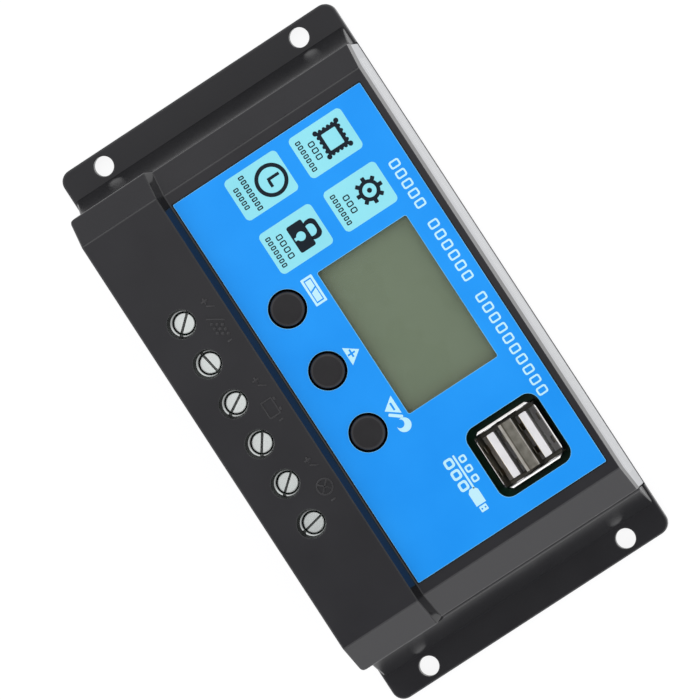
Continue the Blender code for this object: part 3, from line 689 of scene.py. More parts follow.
# %% Heat sink plate
brushed_aluminium = grained(
    "drawn_aluminium", (0.42, 0.43, 0.45), (0.56, 0.57, 0.59), 0.36, {"Metallic": 1.0},
    cloud=1.4, grain=0.22, depth=0.006, spread=0.16, worn=(0.88, 0.89, 0.90), stretch=(0.02, 1.0, 1.0),
)
side_plate = prism(plate_outline(0.0, plate_low.z), plate_low.y, plate_high.y, "Y")
side_plate = rounded(side_plate, 0.25, 3)
grooves = []
for z in (4.4, 7.4, 10.4, 13.4, 16.4):
    profile = [(plate_high.y - 0.45, z), (plate_high.y + 0.3, z - 0.7), (plate_high.y + 0.3, z + 0.7)]
    grooves.append(prism(profile, -58.5, 58.5, "X"))
side_plate = cut(side_plate, joined(grooves))
BOLT_Z = 20.7
bolts = []
for n in (1, 2, 3):
    bolt = middle(f"power_transistor_{n}")
    hole = disc((0.0, 0.0), 1.6, -1.6, 1.5, 32)
    bolts.append(moved(hole, (bolt.x, plate_low.y, BOLT_Z), math.pi / 2, "X"))
side_plate = cut(side_plate, joined(bolts))
finished(
    "side_plate", side_plate, [brushed_aluminium], replaces=["heat_sink_plate"],
    flats=SQUARE,
)

# %% [markdown]
# ## Front label
# A polycarbonate film printed blue, die cut with openings for the display, the keys and the socket.
# The film is cut from a plate and its upper edge gets a narrow chamfer. The cut edge and the chamfer
# are coloured a paler blue, a painted highlight for the light that the edge catches all round.


# %% Label finishes
def film(name, dark, light, rough):
    return grained(name, dark, light, rough, {"Specular IOR Level": 0.22}, 22.0, 0.45, 0.0015, 0.05)


blue_film = film("blue_film", (0.0080, 0.290, 0.900), (0.0130, 0.325, 0.955), 0.30)
# Paler blue for the film's cut edge and chamfer: a painted highlight.
film_edge_highlight = film("film_edge_painted_highlight", (0.16, 0.55, 0.92), (0.22, 0.62, 0.95), 0.28)
tile_ink = film("pale_tile_ink", (0.265, 0.730, 0.850), (0.305, 0.790, 0.890), 0.34)
icon_ink = film("dark_icon_ink", (0.0020, 0.0070, 0.0150), (0.0032, 0.0100, 0.0200), 0.38)
white_ink = film("white_print_ink", (0.500, 0.830, 0.960), (0.560, 0.880, 0.985), 0.36)

# %% Label film
PUNCH = (30.0, 34.0)  # heights that every cutter of the film and the ink runs between
film_sheet = plate(label_middle, (label_size.x, label_size.y), 0.3, label_low.z, PANEL_TOP, 4)
film_holes = [disc(b, BUTTON_HOLE_R, *PUNCH, 64) for b in buttons]
film_holes.append(plate(socket, SOCKET_HOLE, SOCKET_HOLE_R, *PUNCH, 8))
film_holes.append(plate(window, window_size, 0.5, *PUNCH, 4))
film_sheet = cut(film_sheet, joined(film_holes))
film_sheet = rounded(film_sheet, 0.2, 2, lambda spot, edge: spot.z > PANEL_TOP - 0.02)
# The top face is 0; the edge and chamfer are 1, with the painted highlight.
finished(
    "label_film", film_sheet, [blue_film, film_edge_highlight], replaces=["label_overlay"],
    pick=lambda normal, centre: 0 if normal.z > 0.99 else 1,
)

# %% [markdown]
# ## Printed marks
# Ink on the film is a few hundredths of a millimetre thick, so each mark is a thin closed plate:
# pale tiles with a pictogram each, and rows of boxes that stand for the lines of print, because the
# real wording is the maker's own. Pictograms are drawn from discs, plates and prisms.

# %% Tiles
INK = 0.03
INK_BASE = PANEL_TOP - 0.01
TILE_X = (-45.5, -30.5)
TILE_Y = (4.45, 22.68)
TILE_SIZE = (11.1, 14.7)


def ink(centre, size, radius=0.0, level=0, turn=0.0, steps=4):
    low = INK_BASE + level * INK
    return plate(centre, size, radius, low, low + INK, steps, turn)


def dot(centre, radius, level=0, segments=32):
    low = INK_BASE + level * INK
    return disc(centre, radius, low, low + INK, segments)


def shape(points, centre=(0.0, 0.0), level=0):
    low = INK_BASE + level * INK
    return prism([(centre[0] + x, centre[1] + y) for x, y in points], low, low + INK)


tiles = [ink((x, y), TILE_SIZE, 1.2, 0, 0.0, 8) for x in TILE_X for y in TILE_Y]
finished("tile_panels", joined(tiles), [tile_ink])

# %% [markdown]
# The four pictograms are a clock, a chip, a padlock and a gear, all common signs. A ring is a disc
# with a smaller disc cut out of it; cutting keeps each one a closed solid of even thickness.


# %% Pictograms
def ring(centre, outer, inner, level=1):
    return cut(dot(centre, outer, level, 48), disc(centre, inner, *PUNCH, 48))


clock = (-45.3, 7.2)
hub = (clock[0] - 0.47, clock[1] - 0.6)
clock_parts = [
    ring(clock, 4.05, 3.1),
    ink((hub[0], hub[1] + 1.35), (0.72, 3.2), 0.1, 1),
    ink((hub[0] + 1.15, hub[1]), (1.75, 0.72), 0.1, 1),
]

chip = (-45.5, 24.7)
bumps = []
for side_sign in (-1, 1):
    for step in (-1.5, -0.5, 0.5, 1.5):
        bumps.append(dot((chip[0] + 1.25 * step, chip[1] + side_sign * 2.85), 0.42, 1, 20))
        bumps.append(dot((chip[0] + side_sign * 3.1, chip[1] + 1.15 * step), 0.42, 1, 20))
    for other in (-1, 1):
        bumps.append(dot((chip[0] + side_sign * 3.2, chip[1] + other * 2.95), 0.62, 1, 24))
chip_frame = united(ink(chip, (6.2, 5.7), 0.3, 1), joined(bumps))
chip_parts = [cut(chip_frame, plate(chip, (4.4, 3.9), 0.25, *PUNCH, 3))]

lock = (-30.4, 5.8)
shackle = cut(
    ink((lock[0], lock[1] + 3.25), (5.1, 3.4), 1.5, 1, 0.0, 8),
    plate((lock[0], lock[1] + 2.75), (3.0, 2.6), 1.2, *PUNCH, 8),
    block((lock[0] - 4, lock[1] - 3, PUNCH[0]), (lock[0] + 4, lock[1] + 1.97, PUNCH[1])),
)
keyhole_stub = plate((lock[0], lock[1] - 1.2), (0.8, 1.0), 0.0, *PUNCH)
keyhole = united(disc(lock, 1.15, *PUNCH, 32), keyhole_stub)
lock_body = cut(ink(lock, (7.0, 4.2), 0.5, 1), keyhole)
lock_parts = [shackle, lock_body]

gear = (-30.6, 25.3)
teeth = []
for index in range(8):
    angle = math.radians(45 * index)
    spot = (gear[0] + 2.85 * math.cos(angle), gear[1] + 2.85 * math.sin(angle))
    teeth.append(ink(spot, (1.2, 1.0), 0.15, 1, angle))
wheel = united(dot(gear, 2.6, 1, 48), joined(teeth))
wheel = cut(wheel, disc(gear, 1.7, *PUNCH, 40))
gear_parts = [wheel, dot(gear, 0.6, 1, 24)]
icons = joined(clock_parts + chip_parts + lock_parts + gear_parts)
finished("tile_icons", icons, [icon_ink])

# %% [markdown]
# Where print belongs there are rows of small open boxes, one for each character, as a typesetter
# greeks a line that isn't set yet. They are plain boxes, and say nothing.


# %% Boxes for the lines of print
def greeked(centre, count, pitch, size, stroke, level=0):
    """A centred row of open boxes along the case."""
    outer = []
    inner = []
    for index in range(count):
        spot = (centre[0] + pitch * (index - (count - 1) / 2), centre[1])
        outer.append(ink(spot, size, 0.28 * size[0], level))
        hollow_size = (size[0] - 2 * stroke, size[1] - 2 * stroke)
        inner.append(plate(spot, hollow_size, 0.12 * size[0], *PUNCH, 3))
    return cut(joined(outer), joined(inner))


LINES = ((0, 19.7, 17.1, 3, 7), (0, 1.35, -1.2, 8, 5), (1, 19.7, 17.1, 3, 7), (1, 1.35, -1.2, 4, 7))
tile_lines = []
for column, upper, lower, upper_count, lower_count in LINES:
    x = TILE_X[column] + 0.1
    wide = upper_count < 5
    upper_size = (1.25, 1.6) if wide else (0.85, 1.4)
    tile_lines.append(greeked((x, upper), upper_count, 1.7 if wide else 1.2, upper_size, 0.27, 1))
    tile_lines.append(greeked((x, lower), lower_count, 1.2, (0.85, 1.3), 0.25, 1))
finished("tile_lines", joined(tile_lines), [icon_ink])

title = [
    greeked((-27.05, 33.7), 5, 2.75, (2.0, 2.7), 0.44),
    greeked((-8.45, 33.7), 6, 2.9, (2.05, 2.7), 0.44),
    greeked((17.8, 33.7), 10, 2.9, (2.05, 2.7), 0.44),
    greeked((36.9, 9.1), 3, 2.7, (1.8, 1.8), 0.45),
    greeked((36.6, 5.75), 3, 3.1, (2.5, 2.4), 0.6),
    ink((36.9, 7.55), (9.2, 0.5), 0.2),
]
finished("title_lines", joined(title), [white_ink])

# %% Small signs beside the keys
battery = (-18.1, 1.33)
battery_case = cut(ink(battery, (7.2, 3.1), 0.2), plate(battery, (6.1, 2.0), 0.1, *PUNCH, 3))
left_cell = shape([(-2.7, -0.75), (-0.1, -0.75), (-0.75, 0.75), (-2.7, 0.75)], battery)
right_cell = shape([(0.35, -0.75), (2.7, -0.75), (2.7, 0.75), (-0.3, 0.75)], battery)
up = shape([(-2.4, -1.6), (2.4, -1.6), (0.0, 1.7)], (-0.7, 1.05))
plus_across = block((-1.9, 0.45, PUNCH[0]), (0.15, 0.9, PUNCH[1]))
plus_along = block((-1.05, -0.35, PUNCH[0]), (-0.6, 1.6, PUNCH[1]))
up = cut(up, plus_across, plus_along)
down = shape([(-2.4, 1.6), (0.0, -1.6), (2.4, 1.6)], (14.9, 1.35))
down = cut(down, block((13.9, 1.65, PUNCH[0]), (15.9, 2.15, PUNCH[1])))
stroke = ink((17.15, 1.4), (0.75, 3.5), 0.3, 0, math.radians(-38))
lamp = cut(dot((20.0, 1.9), 1.75), disc((19.3, 1.2), 1.05, *PUNCH, 32))
plug_outline = [(-1.9, -1.3), (1.6, -1.3), (1.6, 1.3), (-1.9, 1.3), (-2.7, 0.6), (-2.7, -0.6)]
plug_body = shape(plug_outline, (43.9, 7.0))
plug_tip = cut(
    ink((46.6, 7.0), (1.5, 1.9), 0.15),
    plate((46.6, 7.45), (0.4, 0.4), 0.0, *PUNCH),
    plate((46.6, 6.55), (0.4, 0.4), 0.0, *PUNCH),
)
signs = [battery_case, left_cell, right_cell, up, down, stroke, lamp, plug_body, plug_tip]
finished("key_signs", joined(signs), [white_ink])

# %% [markdown]
# ## Marks on the hood
# Beside the screw holes the moulding carries raised signs: a leaning solar panel, a battery and a
# lamp, each with plus and minus. They come from shallow engraving in the tool. They are given a
# paler and glossier black than the case, a painted highlight for the glints on their edges, so that
# they stand out from it.

# %% Raised signs
RAISED = 0.25
MARK_Y = -21.5
MARK_SPAN = (HOOD_TOP - 0.05, HOOD_TOP + RAISED)
HOOD_PUNCH = (34.0, 37.0)  # the same for the cutters of the raised signs


def raised_plate(centre, size, radius=0.1, turn=0.0):
    return plate(centre, size, radius, *MARK_SPAN, 3, turn)


def raised_dot(centre, radius):
    return disc(centre, radius, *MARK_SPAN, 32)


LEANING = math.radians(57.0)
lean_x, lean_y = math.cos(LEANING), math.sin(LEANING)
panel_x = (terminals[0].x + terminals[1].x) / 2 + 0.2
marks = [raised_plate((panel_x - 2.4, MARK_Y - 0.1), (4.5, 0.42), 0.1, LEANING)]
for row in range(3):
    for column in (-1, 0, 1):
        spot = (panel_x - 1.2 + 1.25 * row + 1.3 * column * lean_x, MARK_Y - 0.4 + 1.3 * column * lean_y)
        marks.append(raised_dot(spot, 0.42))
battery_x = (terminals[2].x + terminals[3].x) / 2
marks.append(cut(
    raised_plate((battery_x, MARK_Y - 0.6), (4.6, 3.2), 0.3),
    plate((battery_x, MARK_Y - 0.6), (3.8, 2.4), 0.1, *HOOD_PUNCH, 3),
))
marks += [raised_plate((battery_x + dx, MARK_Y + 1.35), (0.9, 0.6)) for dx in (-1.5, 1.3)]
lamp_x = (terminals[4].x + terminals[5].x) / 2
marks.append(cut(raised_dot((lamp_x, MARK_Y), 2.15), disc((lamp_x, MARK_Y), 1.7, *HOOD_PUNCH, 32)))
for angle in (45, -45):
    marks.append(raised_plate((lamp_x, MARK_Y), (3.6, 0.42), 0.0, math.radians(angle)))
for x in (panel_x, battery_x, lamp_x):
    arm, half = 0.85, 0.23
    plus = [(x - 7.4 + px, MARK_Y + py) for px, py in [
        (arm, -half), (arm, half), (half, half), (half, arm), (-half, arm), (-half, half),
        (-arm, half), (-arm, -half), (-half, -half), (-half, -arm), (half, -arm), (half, -half),
    ]]
    marks.append(prism(plus, *MARK_SPAN))
    marks.append(raised_plate((x - 5.6, MARK_Y + 0.7), (2.2, 0.4), 0.1, LEANING))
    marks.append(raised_plate((x + 3.6, MARK_Y + 0.1), (0.45, 1.3)))
marks = rounded(joined(marks), 0.11, 3, lambda spot, edge: spot.z > HOOD_TOP + RAISED - 0.02)
# The signs carry the paler black that is a painted highlight.
finished("hood_signs", marks, [highlit_sign_black])

# %% [markdown]
# ## Display
# Behind the film's opening lies a clear pane, and under it the liquid crystal cell. With the
# power off the cell shows a flat grey green. The pane is nearly invisible apart from its gloss, so
# it gets a low alpha; the cell carries the tone, with a paler, brownish fringe along its +X and -Y edges.

# %% Display pieces
pane_clear = grained(
    "clear_pane", (0.20, 0.24, 0.17), (0.22, 0.26, 0.19), 0.12,
    {"Alpha": 0.16, "Specular IOR Level": 0.3}, 18.0, 0.8, 0.0004, 0.03,
)
pane = plate(window, (window_high.x - window_low.x, window_high.y - window_low.y), 0.5,
             window_low.z, window_high.z, 4)
pane = rounded(pane, 0.12, 2)
finished("display_pane", pane, [pane_clear], replaces=["display_window"])

cell_finish = Finish("cell_grey_green", {"Specular IOR Level": 0.12})
place = cell_finish.place()
across = cell_finish.node("SeparateXYZ", None, {0: place})
along = cell_finish.node("SeparateXYZ", None, {0: place}, 1)
cloud = cell_finish.ramp(cell_finish.noise(place, 11.0, 2.0), 0.35, 0.65)
tone = cell_finish.mix(cloud, (0.196, 0.252, 0.168), (0.208, 0.264, 0.180))
fringe_x = cell_finish.ramp(across, window.x + 16.5, window.x + 19.6)
fringe_y = cell_finish.ramp(along, window.y - 9.5, window.y - 12.4)
fringe = 0.30 * fringe_x + 0.22 * fringe_y
cell_finish.set("Base Color", cell_finish.mix(fringe, tone, (0.240, 0.235, 0.160)))
cell_finish.set("Roughness", 0.24 + 0.08 * cloud)
cell_finish.relief(cell_finish.noise(place, 0.6, 1.0), 0.0008)
cell_low, cell_high = span("lcd_glass")
cell_size = cell_high - cell_low
cell_middle = middle("lcd_glass")
cell = [
    plate(cell_middle, (cell_size.x, cell_size.y), 0.3, cell_low.z, cell_high.z - 1.1, 3),
    plate(cell_middle + Vector((0.0, 1.0, 0.0)), (cell_size.x, cell_size.y - 2.0), 0.3,
          cell_high.z - 1.12, cell_high.z, 3),
]
cell = rounded(united(cell[0], cell[1]), 0.1, 2)
finished("lcd_cell", cell, [cell_finish.material], replaces=["lcd_glass"])

# %% [markdown]
# ## Key caps
# Three black keys stand a little out of the film and press their switches through a stem. Each is
# a turned shape: a softly rounded rim, a nearly flat top for the finger, and a collar below
# the panel that keeps the key in.

# %% Key caps
key_black = grained(
    "key_black", (0.0075, 0.0066, 0.0084), (0.0105, 0.0095, 0.0116), 0.50,
    {"Specular IOR Level": 0.36}, 3.5, 0.22, 0.004, 0.10, (0.028, 0.027, 0.030),
)
for n, spot in enumerate(buttons, 1):
    key_low, key_high = span(f"button_cap_{n}")
    profile = [(0.0, key_low.z), (1.5, key_low.z), (1.7, key_low.z + 0.2), (1.7, 28.8), (1.9, 28.9)]
    profile += [(5.1, 28.9), (5.3, 29.05), (5.3, 29.55), (5.15, 29.7), (4.25, 29.7), (4.1, 29.85)]
    profile += [(4.1, key_high.z - 0.55)]
    profile += quarter_round(3.6, key_high.z - 0.55, 0.5)
    profile += [(3.5, key_high.z - 0.03), (2.8, key_high.z), (1.4, key_high.z - 0.02)]
    profile += [(0.0, key_high.z - 0.02)]
    finished(
        f"key_cap_{n}", turned(profile, spot, 64), [key_black], f"button_{n}",
        [f"button_cap_{n}"], flats=UPRIGHT, smooth=50.0,
    )

# %% [markdown]
# ## Terminal screws
# Slotted clamp screws of bright nickel-plated steel sit at the bottom of the driver holes. The head
# is turned with a rounded rim and the slot is milled across it, so the slot is cut last and its
# edges get a small chamfer. The shank carries rings for the thread that lifts the clamp cage.

# %% Terminal screws
bright_nickel = grained(
    "bright_nickel", (0.90, 0.96, 0.94), (0.96, 0.99, 0.98), 0.20, {"Metallic": 1.0}, 1.6, 0.18,
    0.002, 0.10, (0.95, 0.96, 0.95),
)
# Darker, duller nickel inside the slot: painted shade for the recess.
slot_painted_shade = grained(
    "slot_painted_shade", (0.20, 0.22, 0.21), (0.30, 0.32, 0.31), 0.45, {"Metallic": 0.6}, 0.9, 0.18,
    0.004, 0.14, (0.60, 0.61, 0.60),
)
SLOT_ANGLES = (-48.0, 10.0, -60.0, -35.0, -50.0, -78.0)
SLOT_WIDE = 0.55
SLOT_DEEP = 1.1
for n, (spot, angle) in enumerate(zip(terminals, SLOT_ANGLES), 1):
    tip, top = span(f"terminal_screw_{n}")
    head = top.z - 2.4
    profile = [(0.0, tip.z), (1.3, tip.z), (1.55, tip.z + 0.35)]
    z = tip.z + 0.5
    while z < head - 1.0:
        profile += [(1.8, z), (1.8, z + 0.15), (1.52, z + 0.4), (1.52, z + 0.5)]
        z += 0.7
    profile += [(1.8, head - 0.3), (1.8, head), (2.35, head), (2.5, head + 0.15), (2.5, top.z - 0.2)]
    profile += quarter_round(2.3, top.z - 0.2, 0.2)
    profile += [(2.25, top.z), (0.0, top.z)]
    slot_tool = plate((0.0, 0.0), (8.0, SLOT_WIDE), 0.0, top.z - SLOT_DEEP, top.z + 1.0)
    slot_tool = moved(slot_tool, (spot.x, spot.y, 0.0), math.radians(angle))
    screw = cut(turned(profile, spot, 56), slot_tool)
    screw = rounded(screw, 0.09, 2, lambda place, edge: place.z > tip.z + 9.0, 60.0)
    finished(
        f"clamp_screw_{n}", screw, [bright_nickel, slot_painted_shade], f"screw_{n}",
        [f"terminal_screw_{n}"], flats=UPRIGHT, smooth=40.0,
        pick=lambda normal, centre, z=top.z, x=spot.x, y=spot.y: int(
            z - SLOT_DEEP - 0.1 < centre.z < z - 0.12 and math.hypot(centre.x - x, centre.y - y) < 2.4
        ),
    )

# %% [markdown]
# ## USB socket
# Two sockets share one shell of folded nickel-plated sheet. Its mouth flares out in four lips with
# cut corners, a folded channel parts the two bays, and sprung fingers reach into each. The walls
# are drawn as open strips, given the sheet's thickness afterwards, which is how sheet is folded.

# %% Socket shell
SHEET = 0.35
socket_nickel = grained(
    "socket_nickel", (0.56, 0.54, 0.52), (0.70, 0.68, 0.66), 0.26, {"Metallic": 1.0}, 2.2, 0.25,
    0.003, 0.16, (0.88, 0.87, 0.86),
)
# Darker nickel for the inside of the shell and the divider: painted shade.
socket_painted_shade = grained(
    "socket_painted_shade", (0.20, 0.19, 0.165), (0.30, 0.285, 0.25), 0.38, {"Metallic": 1.0}, 1.6, 0.3,
    0.006, 0.18, (0.40, 0.38, 0.35),
)


def folded(profile, low, high, taper, place):
    """Fold a strip: the profile is (outward, z), the last point is the lip and gets cut corners."""
    part = bmesh.new()
    rows = []
    for index, (out, z) in enumerate(profile):
        inset = taper * max(0, index - (len(profile) - 4)) / 3
        rows.append([part.verts.new((along, out, z)) for along in (low + inset, high - inset)])
    for first, second in zip(rows, rows[1:]):
        part.faces.new((first[0], first[1], second[1], second[0]))
    bmesh.ops.recalc_face_normals(part, faces=part.faces)
    bmesh.ops.solidify(part, geom=part.faces[:], thickness=SHEET)
    bmesh.ops.transform(part, verts=part.verts, matrix=place)
    bmesh.ops.recalc_face_normals(part, faces=part.faces)
    return part


def wall_profile(base, top, flare):
    """Upright, then an even bend outwards at the mouth."""
    points = [(0.0, base), (0.0, top - 1.0)]
    for step in range(1, 5):
        angle = math.radians(17 * step)
        points.append((flare * step / 4 * math.sin(angle) / math.sin(math.radians(68)),
                       top - 1.0 + 1.0 * math.sin(math.radians(22.5 * step))))
    return points


half_x = (socket_high.x - socket_low.x) / 2
half_y = (socket_high.y - socket_low.y) / 2
base = socket_low.z
top = socket_high.z
parts = []
for turn, reach, length, flare in (
    (0, half_y - 0.35, half_x - 0.5, 0.30), (180, half_y - 0.35, half_x - 0.5, 0.60),
    (90, half_x - 0.35, half_y - 0.5, 0.85), (270, half_x - 0.35, half_y - 0.5, 0.85),
):
    placing = Matrix.Translation((socket.x, socket.y, 0.0))
    placing = placing @ Matrix.Rotation(math.radians(turn + 180), 4, "Z")
    placing = placing @ Matrix.Translation((0.0, reach, 0.0))
    parts.append(folded(wall_profile(base + 0.4, top - 0.1, flare), -length, length, 1.1, placing))
parts.append(plate(socket, (half_x * 2 - 0.8, half_y * 2 - 0.8), 0.4, base, base + 0.6, 4))
rib = [(-1.9, base + 0.6), (-1.9, top - 0.6), (-1.75, top - 0.25), (-1.4, top - 0.1), (-1.05, top - 0.25)]
rib += [(-0.9, top - 0.6), (-0.8, top - 0.8), (1.1, top - 0.8), (1.3, top - 0.65), (1.45, top - 0.25)]
rib += [(1.65, top - 0.15), (1.8, top - 0.3), (1.85, top - 0.8), (1.85, base + 0.6)]
divider = ribbon(rib, -half_x + 0.9, half_x - 0.9, 0.25)
parts.append(moved(divider, (socket.x, socket.y, 0.0)))
for bay in (-1, 1):
    for side_sign in (-1, 1):
        for dx in (-3.2, 3.2):
            wall_y = (half_y - 0.7) if side_sign == bay else 2.25
            y = socket.y + bay * wall_y
            lean = 0.55 * (-bay if side_sign == bay else bay)
            finger = [(y, top - 8.5), (y + lean, top - 4.5), (y + lean, top - 3.8), (y, top - 2.2)]
            parts.append(ribbon(finger, socket.x + dx - 0.9, socket.x + dx + 0.9, 0.2))


def socket_finish(normal, centre):
    """1 below the mouth and all over the divider between the bays, in painted shade."""
    on_divider = abs(centre.y - socket.y) < 2.5 and abs(centre.x - socket.x) < half_x - 0.85
    return int(centre.z < top - 1.3 or on_divider)


finished(
    "usb_frame", joined(parts), [socket_nickel, socket_painted_shade], replaces=["usb_shell"],
    pick=socket_finish, flats=UPRIGHT[:1] + SQUARE[2:],
)

# %% [markdown]
# ## USB tongues
# Each bay holds a white tongue with four contact strips pressed into it. The tongue is a block with
# a narrower blade standing on it; the contacts are thin gilded strips let into one of its sides.

# %% USB tongues
tongue_white = grained(
    "tongue_white", (0.78, 0.77, 0.79), (0.86, 0.85, 0.87), 0.40, None, 3.0, 0.25, 0.003, 0.08,
    (0.92, 0.92, 0.92),
)
contact_gold = grained(
    "contact_gold", (0.72, 0.52, 0.22), (0.82, 0.62, 0.30), 0.28, {"Metallic": 1.0}, 1.0, 0.2, 0.002, 0.1
)
for n in (1, 2):
    low, high = span(f"usb_tongue_{n}")
    spot = middle(f"usb_tongue_{n}")
    foot = plate(spot, (high.x - low.x, high.y - low.y), 0.3, low.z, low.z + 1.5, 3)
    blade = plate(spot, (11.9, 2.0), 0.25, low.z + 0.7, high.z, 3)
    tongue = rounded(united(foot, blade), 0.15, 2)
    strips = []
    for step in (-1.5, -0.5, 0.5, 1.5):
        x = spot.x + 2.5 * step
        strips.append(block((x - 0.5, spot.y - 1.06, low.z + 1.5), (x + 0.5, spot.y - 0.95, high.z - 0.6)))
    tongue = joined([tongue, *strips])
    finished(
        f"usb_insert_{n}", tongue, [tongue_white, contact_gold],
        replaces=[f"usb_tongue_{n}"],
        pick=lambda normal, centre, y=spot.y, z=low.z: int(
            y - 1.07 < centre.y < y - 0.94 and centre.z > z + 1.45 and abs(centre.x - socket.x) < 4.3
        ),
        flats=SQUARE,
    )

# %% [markdown]
# ## Inner parts
# What sits behind the cover keeps its shape from the frame. A copy of each mesh has its loose
# triangles merged and its flat faces cleaned up, then every outer edge gets a small round, as
# stamped, moulded and sawn parts have. That is quicker than drawing each one again, and exact.

# %% Finishes of the inner parts
METAL = {"Metallic": 1.0}
INNER = {
    "terminal_green": ((0.012, 0.105, 0.052), (0.022, 0.150, 0.078), 0.40, None,
                       5.0, 0.3, 0.004, 0.1, (0.05, 0.22, 0.13)),
    "board_green": ((0.010, 0.110, 0.050), (0.018, 0.170, 0.080), 0.36, None,
                    2.2, 0.2, 0.004, 0.14, (0.30, 0.32, 0.20)),
    "compound_black": ((0.012, 0.012, 0.013), (0.022, 0.022, 0.024), 0.55, None,
                       2.0, 0.15, 0.006, 0.1, (0.05, 0.05, 0.05)),
    "frame_white": ((0.72, 0.72, 0.70), (0.80, 0.80, 0.78), 0.45, None,
                    6.0, 0.3, 0.004, 0.08, (0.88, 0.88, 0.87)),
    "zinc_steel": ((0.46, 0.47, 0.50), (0.60, 0.61, 0.63), 0.32, METAL,
                   1.5, 0.2, 0.003, 0.16, (0.75, 0.76, 0.78)),
    "tinned_brass": ((0.62, 0.59, 0.50), (0.76, 0.73, 0.64), 0.30, METAL,
                     1.8, 0.2, 0.003, 0.14, (0.80, 0.70, 0.45)),
    "cage_nickel": ((0.58, 0.59, 0.58), (0.72, 0.73, 0.72), 0.28, METAL,
                    1.6, 0.2, 0.003, 0.14, (0.85, 0.86, 0.85)),
    "pad_grey": ((0.36, 0.38, 0.41), (0.48, 0.50, 0.53), 0.78, None,
                 3.0, 0.4, 0.010, 0.08, (0.55, 0.56, 0.58)),
    "sleeve_blue": ((0.020, 0.028, 0.075), (0.035, 0.045, 0.110), 0.32, None,
                    4.0, 0.3, 0.003, 0.1, (0.30, 0.32, 0.36)),
    "core_green": ((0.06, 0.075, 0.065), (0.10, 0.115, 0.100), 0.58, None,
                   2.0, 0.2, 0.010, 0.1, (0.14, 0.15, 0.14)),
}
inner = {name: grained(name, *values) for name, values in INNER.items()}
print("inner finishes:", len(inner))


# %% Refined copies
def refined(node, name, finish, slot, radius, body="case", angle=30.0):
    copy = bmesh.new()
    copy.from_mesh(frame["nodes"][node].data)
    bmesh.ops.scale(copy, verts=copy.verts, vec=(1 / MM,) * 3)
    bmesh.ops.remove_doubles(copy, verts=copy.verts, dist=2 * MERGE)
    copy = rounded(copy, radius, 2, None, angle)
    finished(name, copy, [finish], body, [node], flats=SQUARE)


GREEN, BLACK, STEEL = inner["board_green"], inner["compound_black"], inner["zinc_steel"]
refined("terminal_block", "terminal_body", inner["terminal_green"], "terminal_plastic", 0.2)
refined("lcd_backlight_frame", "backlight_frame", inner["frame_white"], "white_plastic", 0.2)
for board in ("power_board", "control_board"):
    refined(board, f"{board}_laminate", GREEN, "circuit_board", 0.12)
refined("board_header", "board_link", BLACK, "component_plastic", 0.15)
refined("controller_chip", "control_chip", BLACK, "component_plastic", 0.15)
refined("thermal_pad", "silicone_sheet", inner["pad_grey"], "silicone_pad", 0.1, angle=60.0)
refined("inductor", "choke_ring", inner["core_green"], "ferrite_core", 0.15, angle=40.0)
for n in (1, 2):
    can = (f"capacitor_{n}", f"storage_can_{n}")
    refined(*can, inner["sleeve_blue"], "capacitor_sleeve", 0.15, angle=60.0)
for n in (1, 2, 3):
    refined(f"power_transistor_{n}", f"switching_device_{n}", BLACK, "component_plastic", 0.12)
    refined(f"transistor_screw_{n}", f"device_screw_{n}", STEEL, "zinc_steel", 0.1, angle=60.0)
    refined(f"switch_body_{n}", f"key_switch_{n}", BLACK, "component_plastic", 0.15, angle=60.0)
    stem = (f"switch_plunger_{n}", f"key_plunger_{n}")
    refined(*stem, key_black, "key_rubber", 0.15, f"button_{n}", 60.0)
for n in range(1, 7):
    refined(f"terminal_contact_{n}", f"contact_bar_{n}", inner["tinned_brass"], "tinned_brass", 0.12)
    cage = (f"clamp_cage_{n}", f"lift_cage_{n}")
    refined(*cage, inner["cage_nickel"], "nickel_plate", 0.2, f"cage_{n}")

# %% [markdown]
# ## Case screws
# Four screws come in from the back. They are turned with a domed head and a cross recess, which is
# two crossed tapering wedges cut into it.

# %% Case screws
for n in range(1, 5):
    low, high = span(f"case_screw_{n}")
    spot = middle(f"case_screw_{n}")
    profile = [(0.0, low.z), (1.4, low.z + 0.06), (2.2, low.z + 0.3), (2.7, low.z + 0.8)]
    profile += [(2.8, low.z + 1.1), (2.8, 2.6), (2.7, 2.7), (1.35, 2.7), (1.35, 4.0)]
    z = 4.2
    while z < high.z - 1.4:
        profile += [(1.35, z), (1.05, z + 0.45), (1.05, z + 0.6)]
        z += 1.0
    profile += [(1.0, high.z - 0.9), (0.0, high.z)]
    cross = []
    for turn in (0.0, math.pi / 2):
        wedge = plate((0.0, 0.0), (3.4, 0.75), 0.0, low.z - 0.5, low.z + 1.6)
        tips = [v for v in wedge.verts if v.co.z > low.z]
        bmesh.ops.scale(wedge, verts=tips, vec=(0.45, 0.8, 1.0))
        cross.append(moved(wedge, (spot.x, spot.y, 0.0), turn))
    fixing = cut(turned(profile, spot, 40), *cross)
    finished(
        f"case_fixing_{n}", fixing, [STEEL], replaces=[f"case_screw_{n}"], smooth=40.0
    )

# %% [markdown]
# ## Anything left from the frame
# A node that no piece stands for would show its plain packed material, so this loop looks for one
# and gives it the moulded black finish. It also reports, which is how a forgotten node is found.

# %% Left-over nodes
left = [name for name, obj in frame["nodes"].items() if not obj.hide_render]
for name in left:
    frame["nodes"][name].data.materials.clear()
    frame["nodes"][name].data.materials.append(BLACK)
print("nodes still shown:", left)

# %% [markdown]
# ## Floor, light and camera
# The controller lies on a white table in a light tent. The tent is the world: bright all round,
# brighter on the right, with a dark gap straight above where the camera looks in. A large soft
# panel hangs low over the left, which is why flat black faces are paler there.

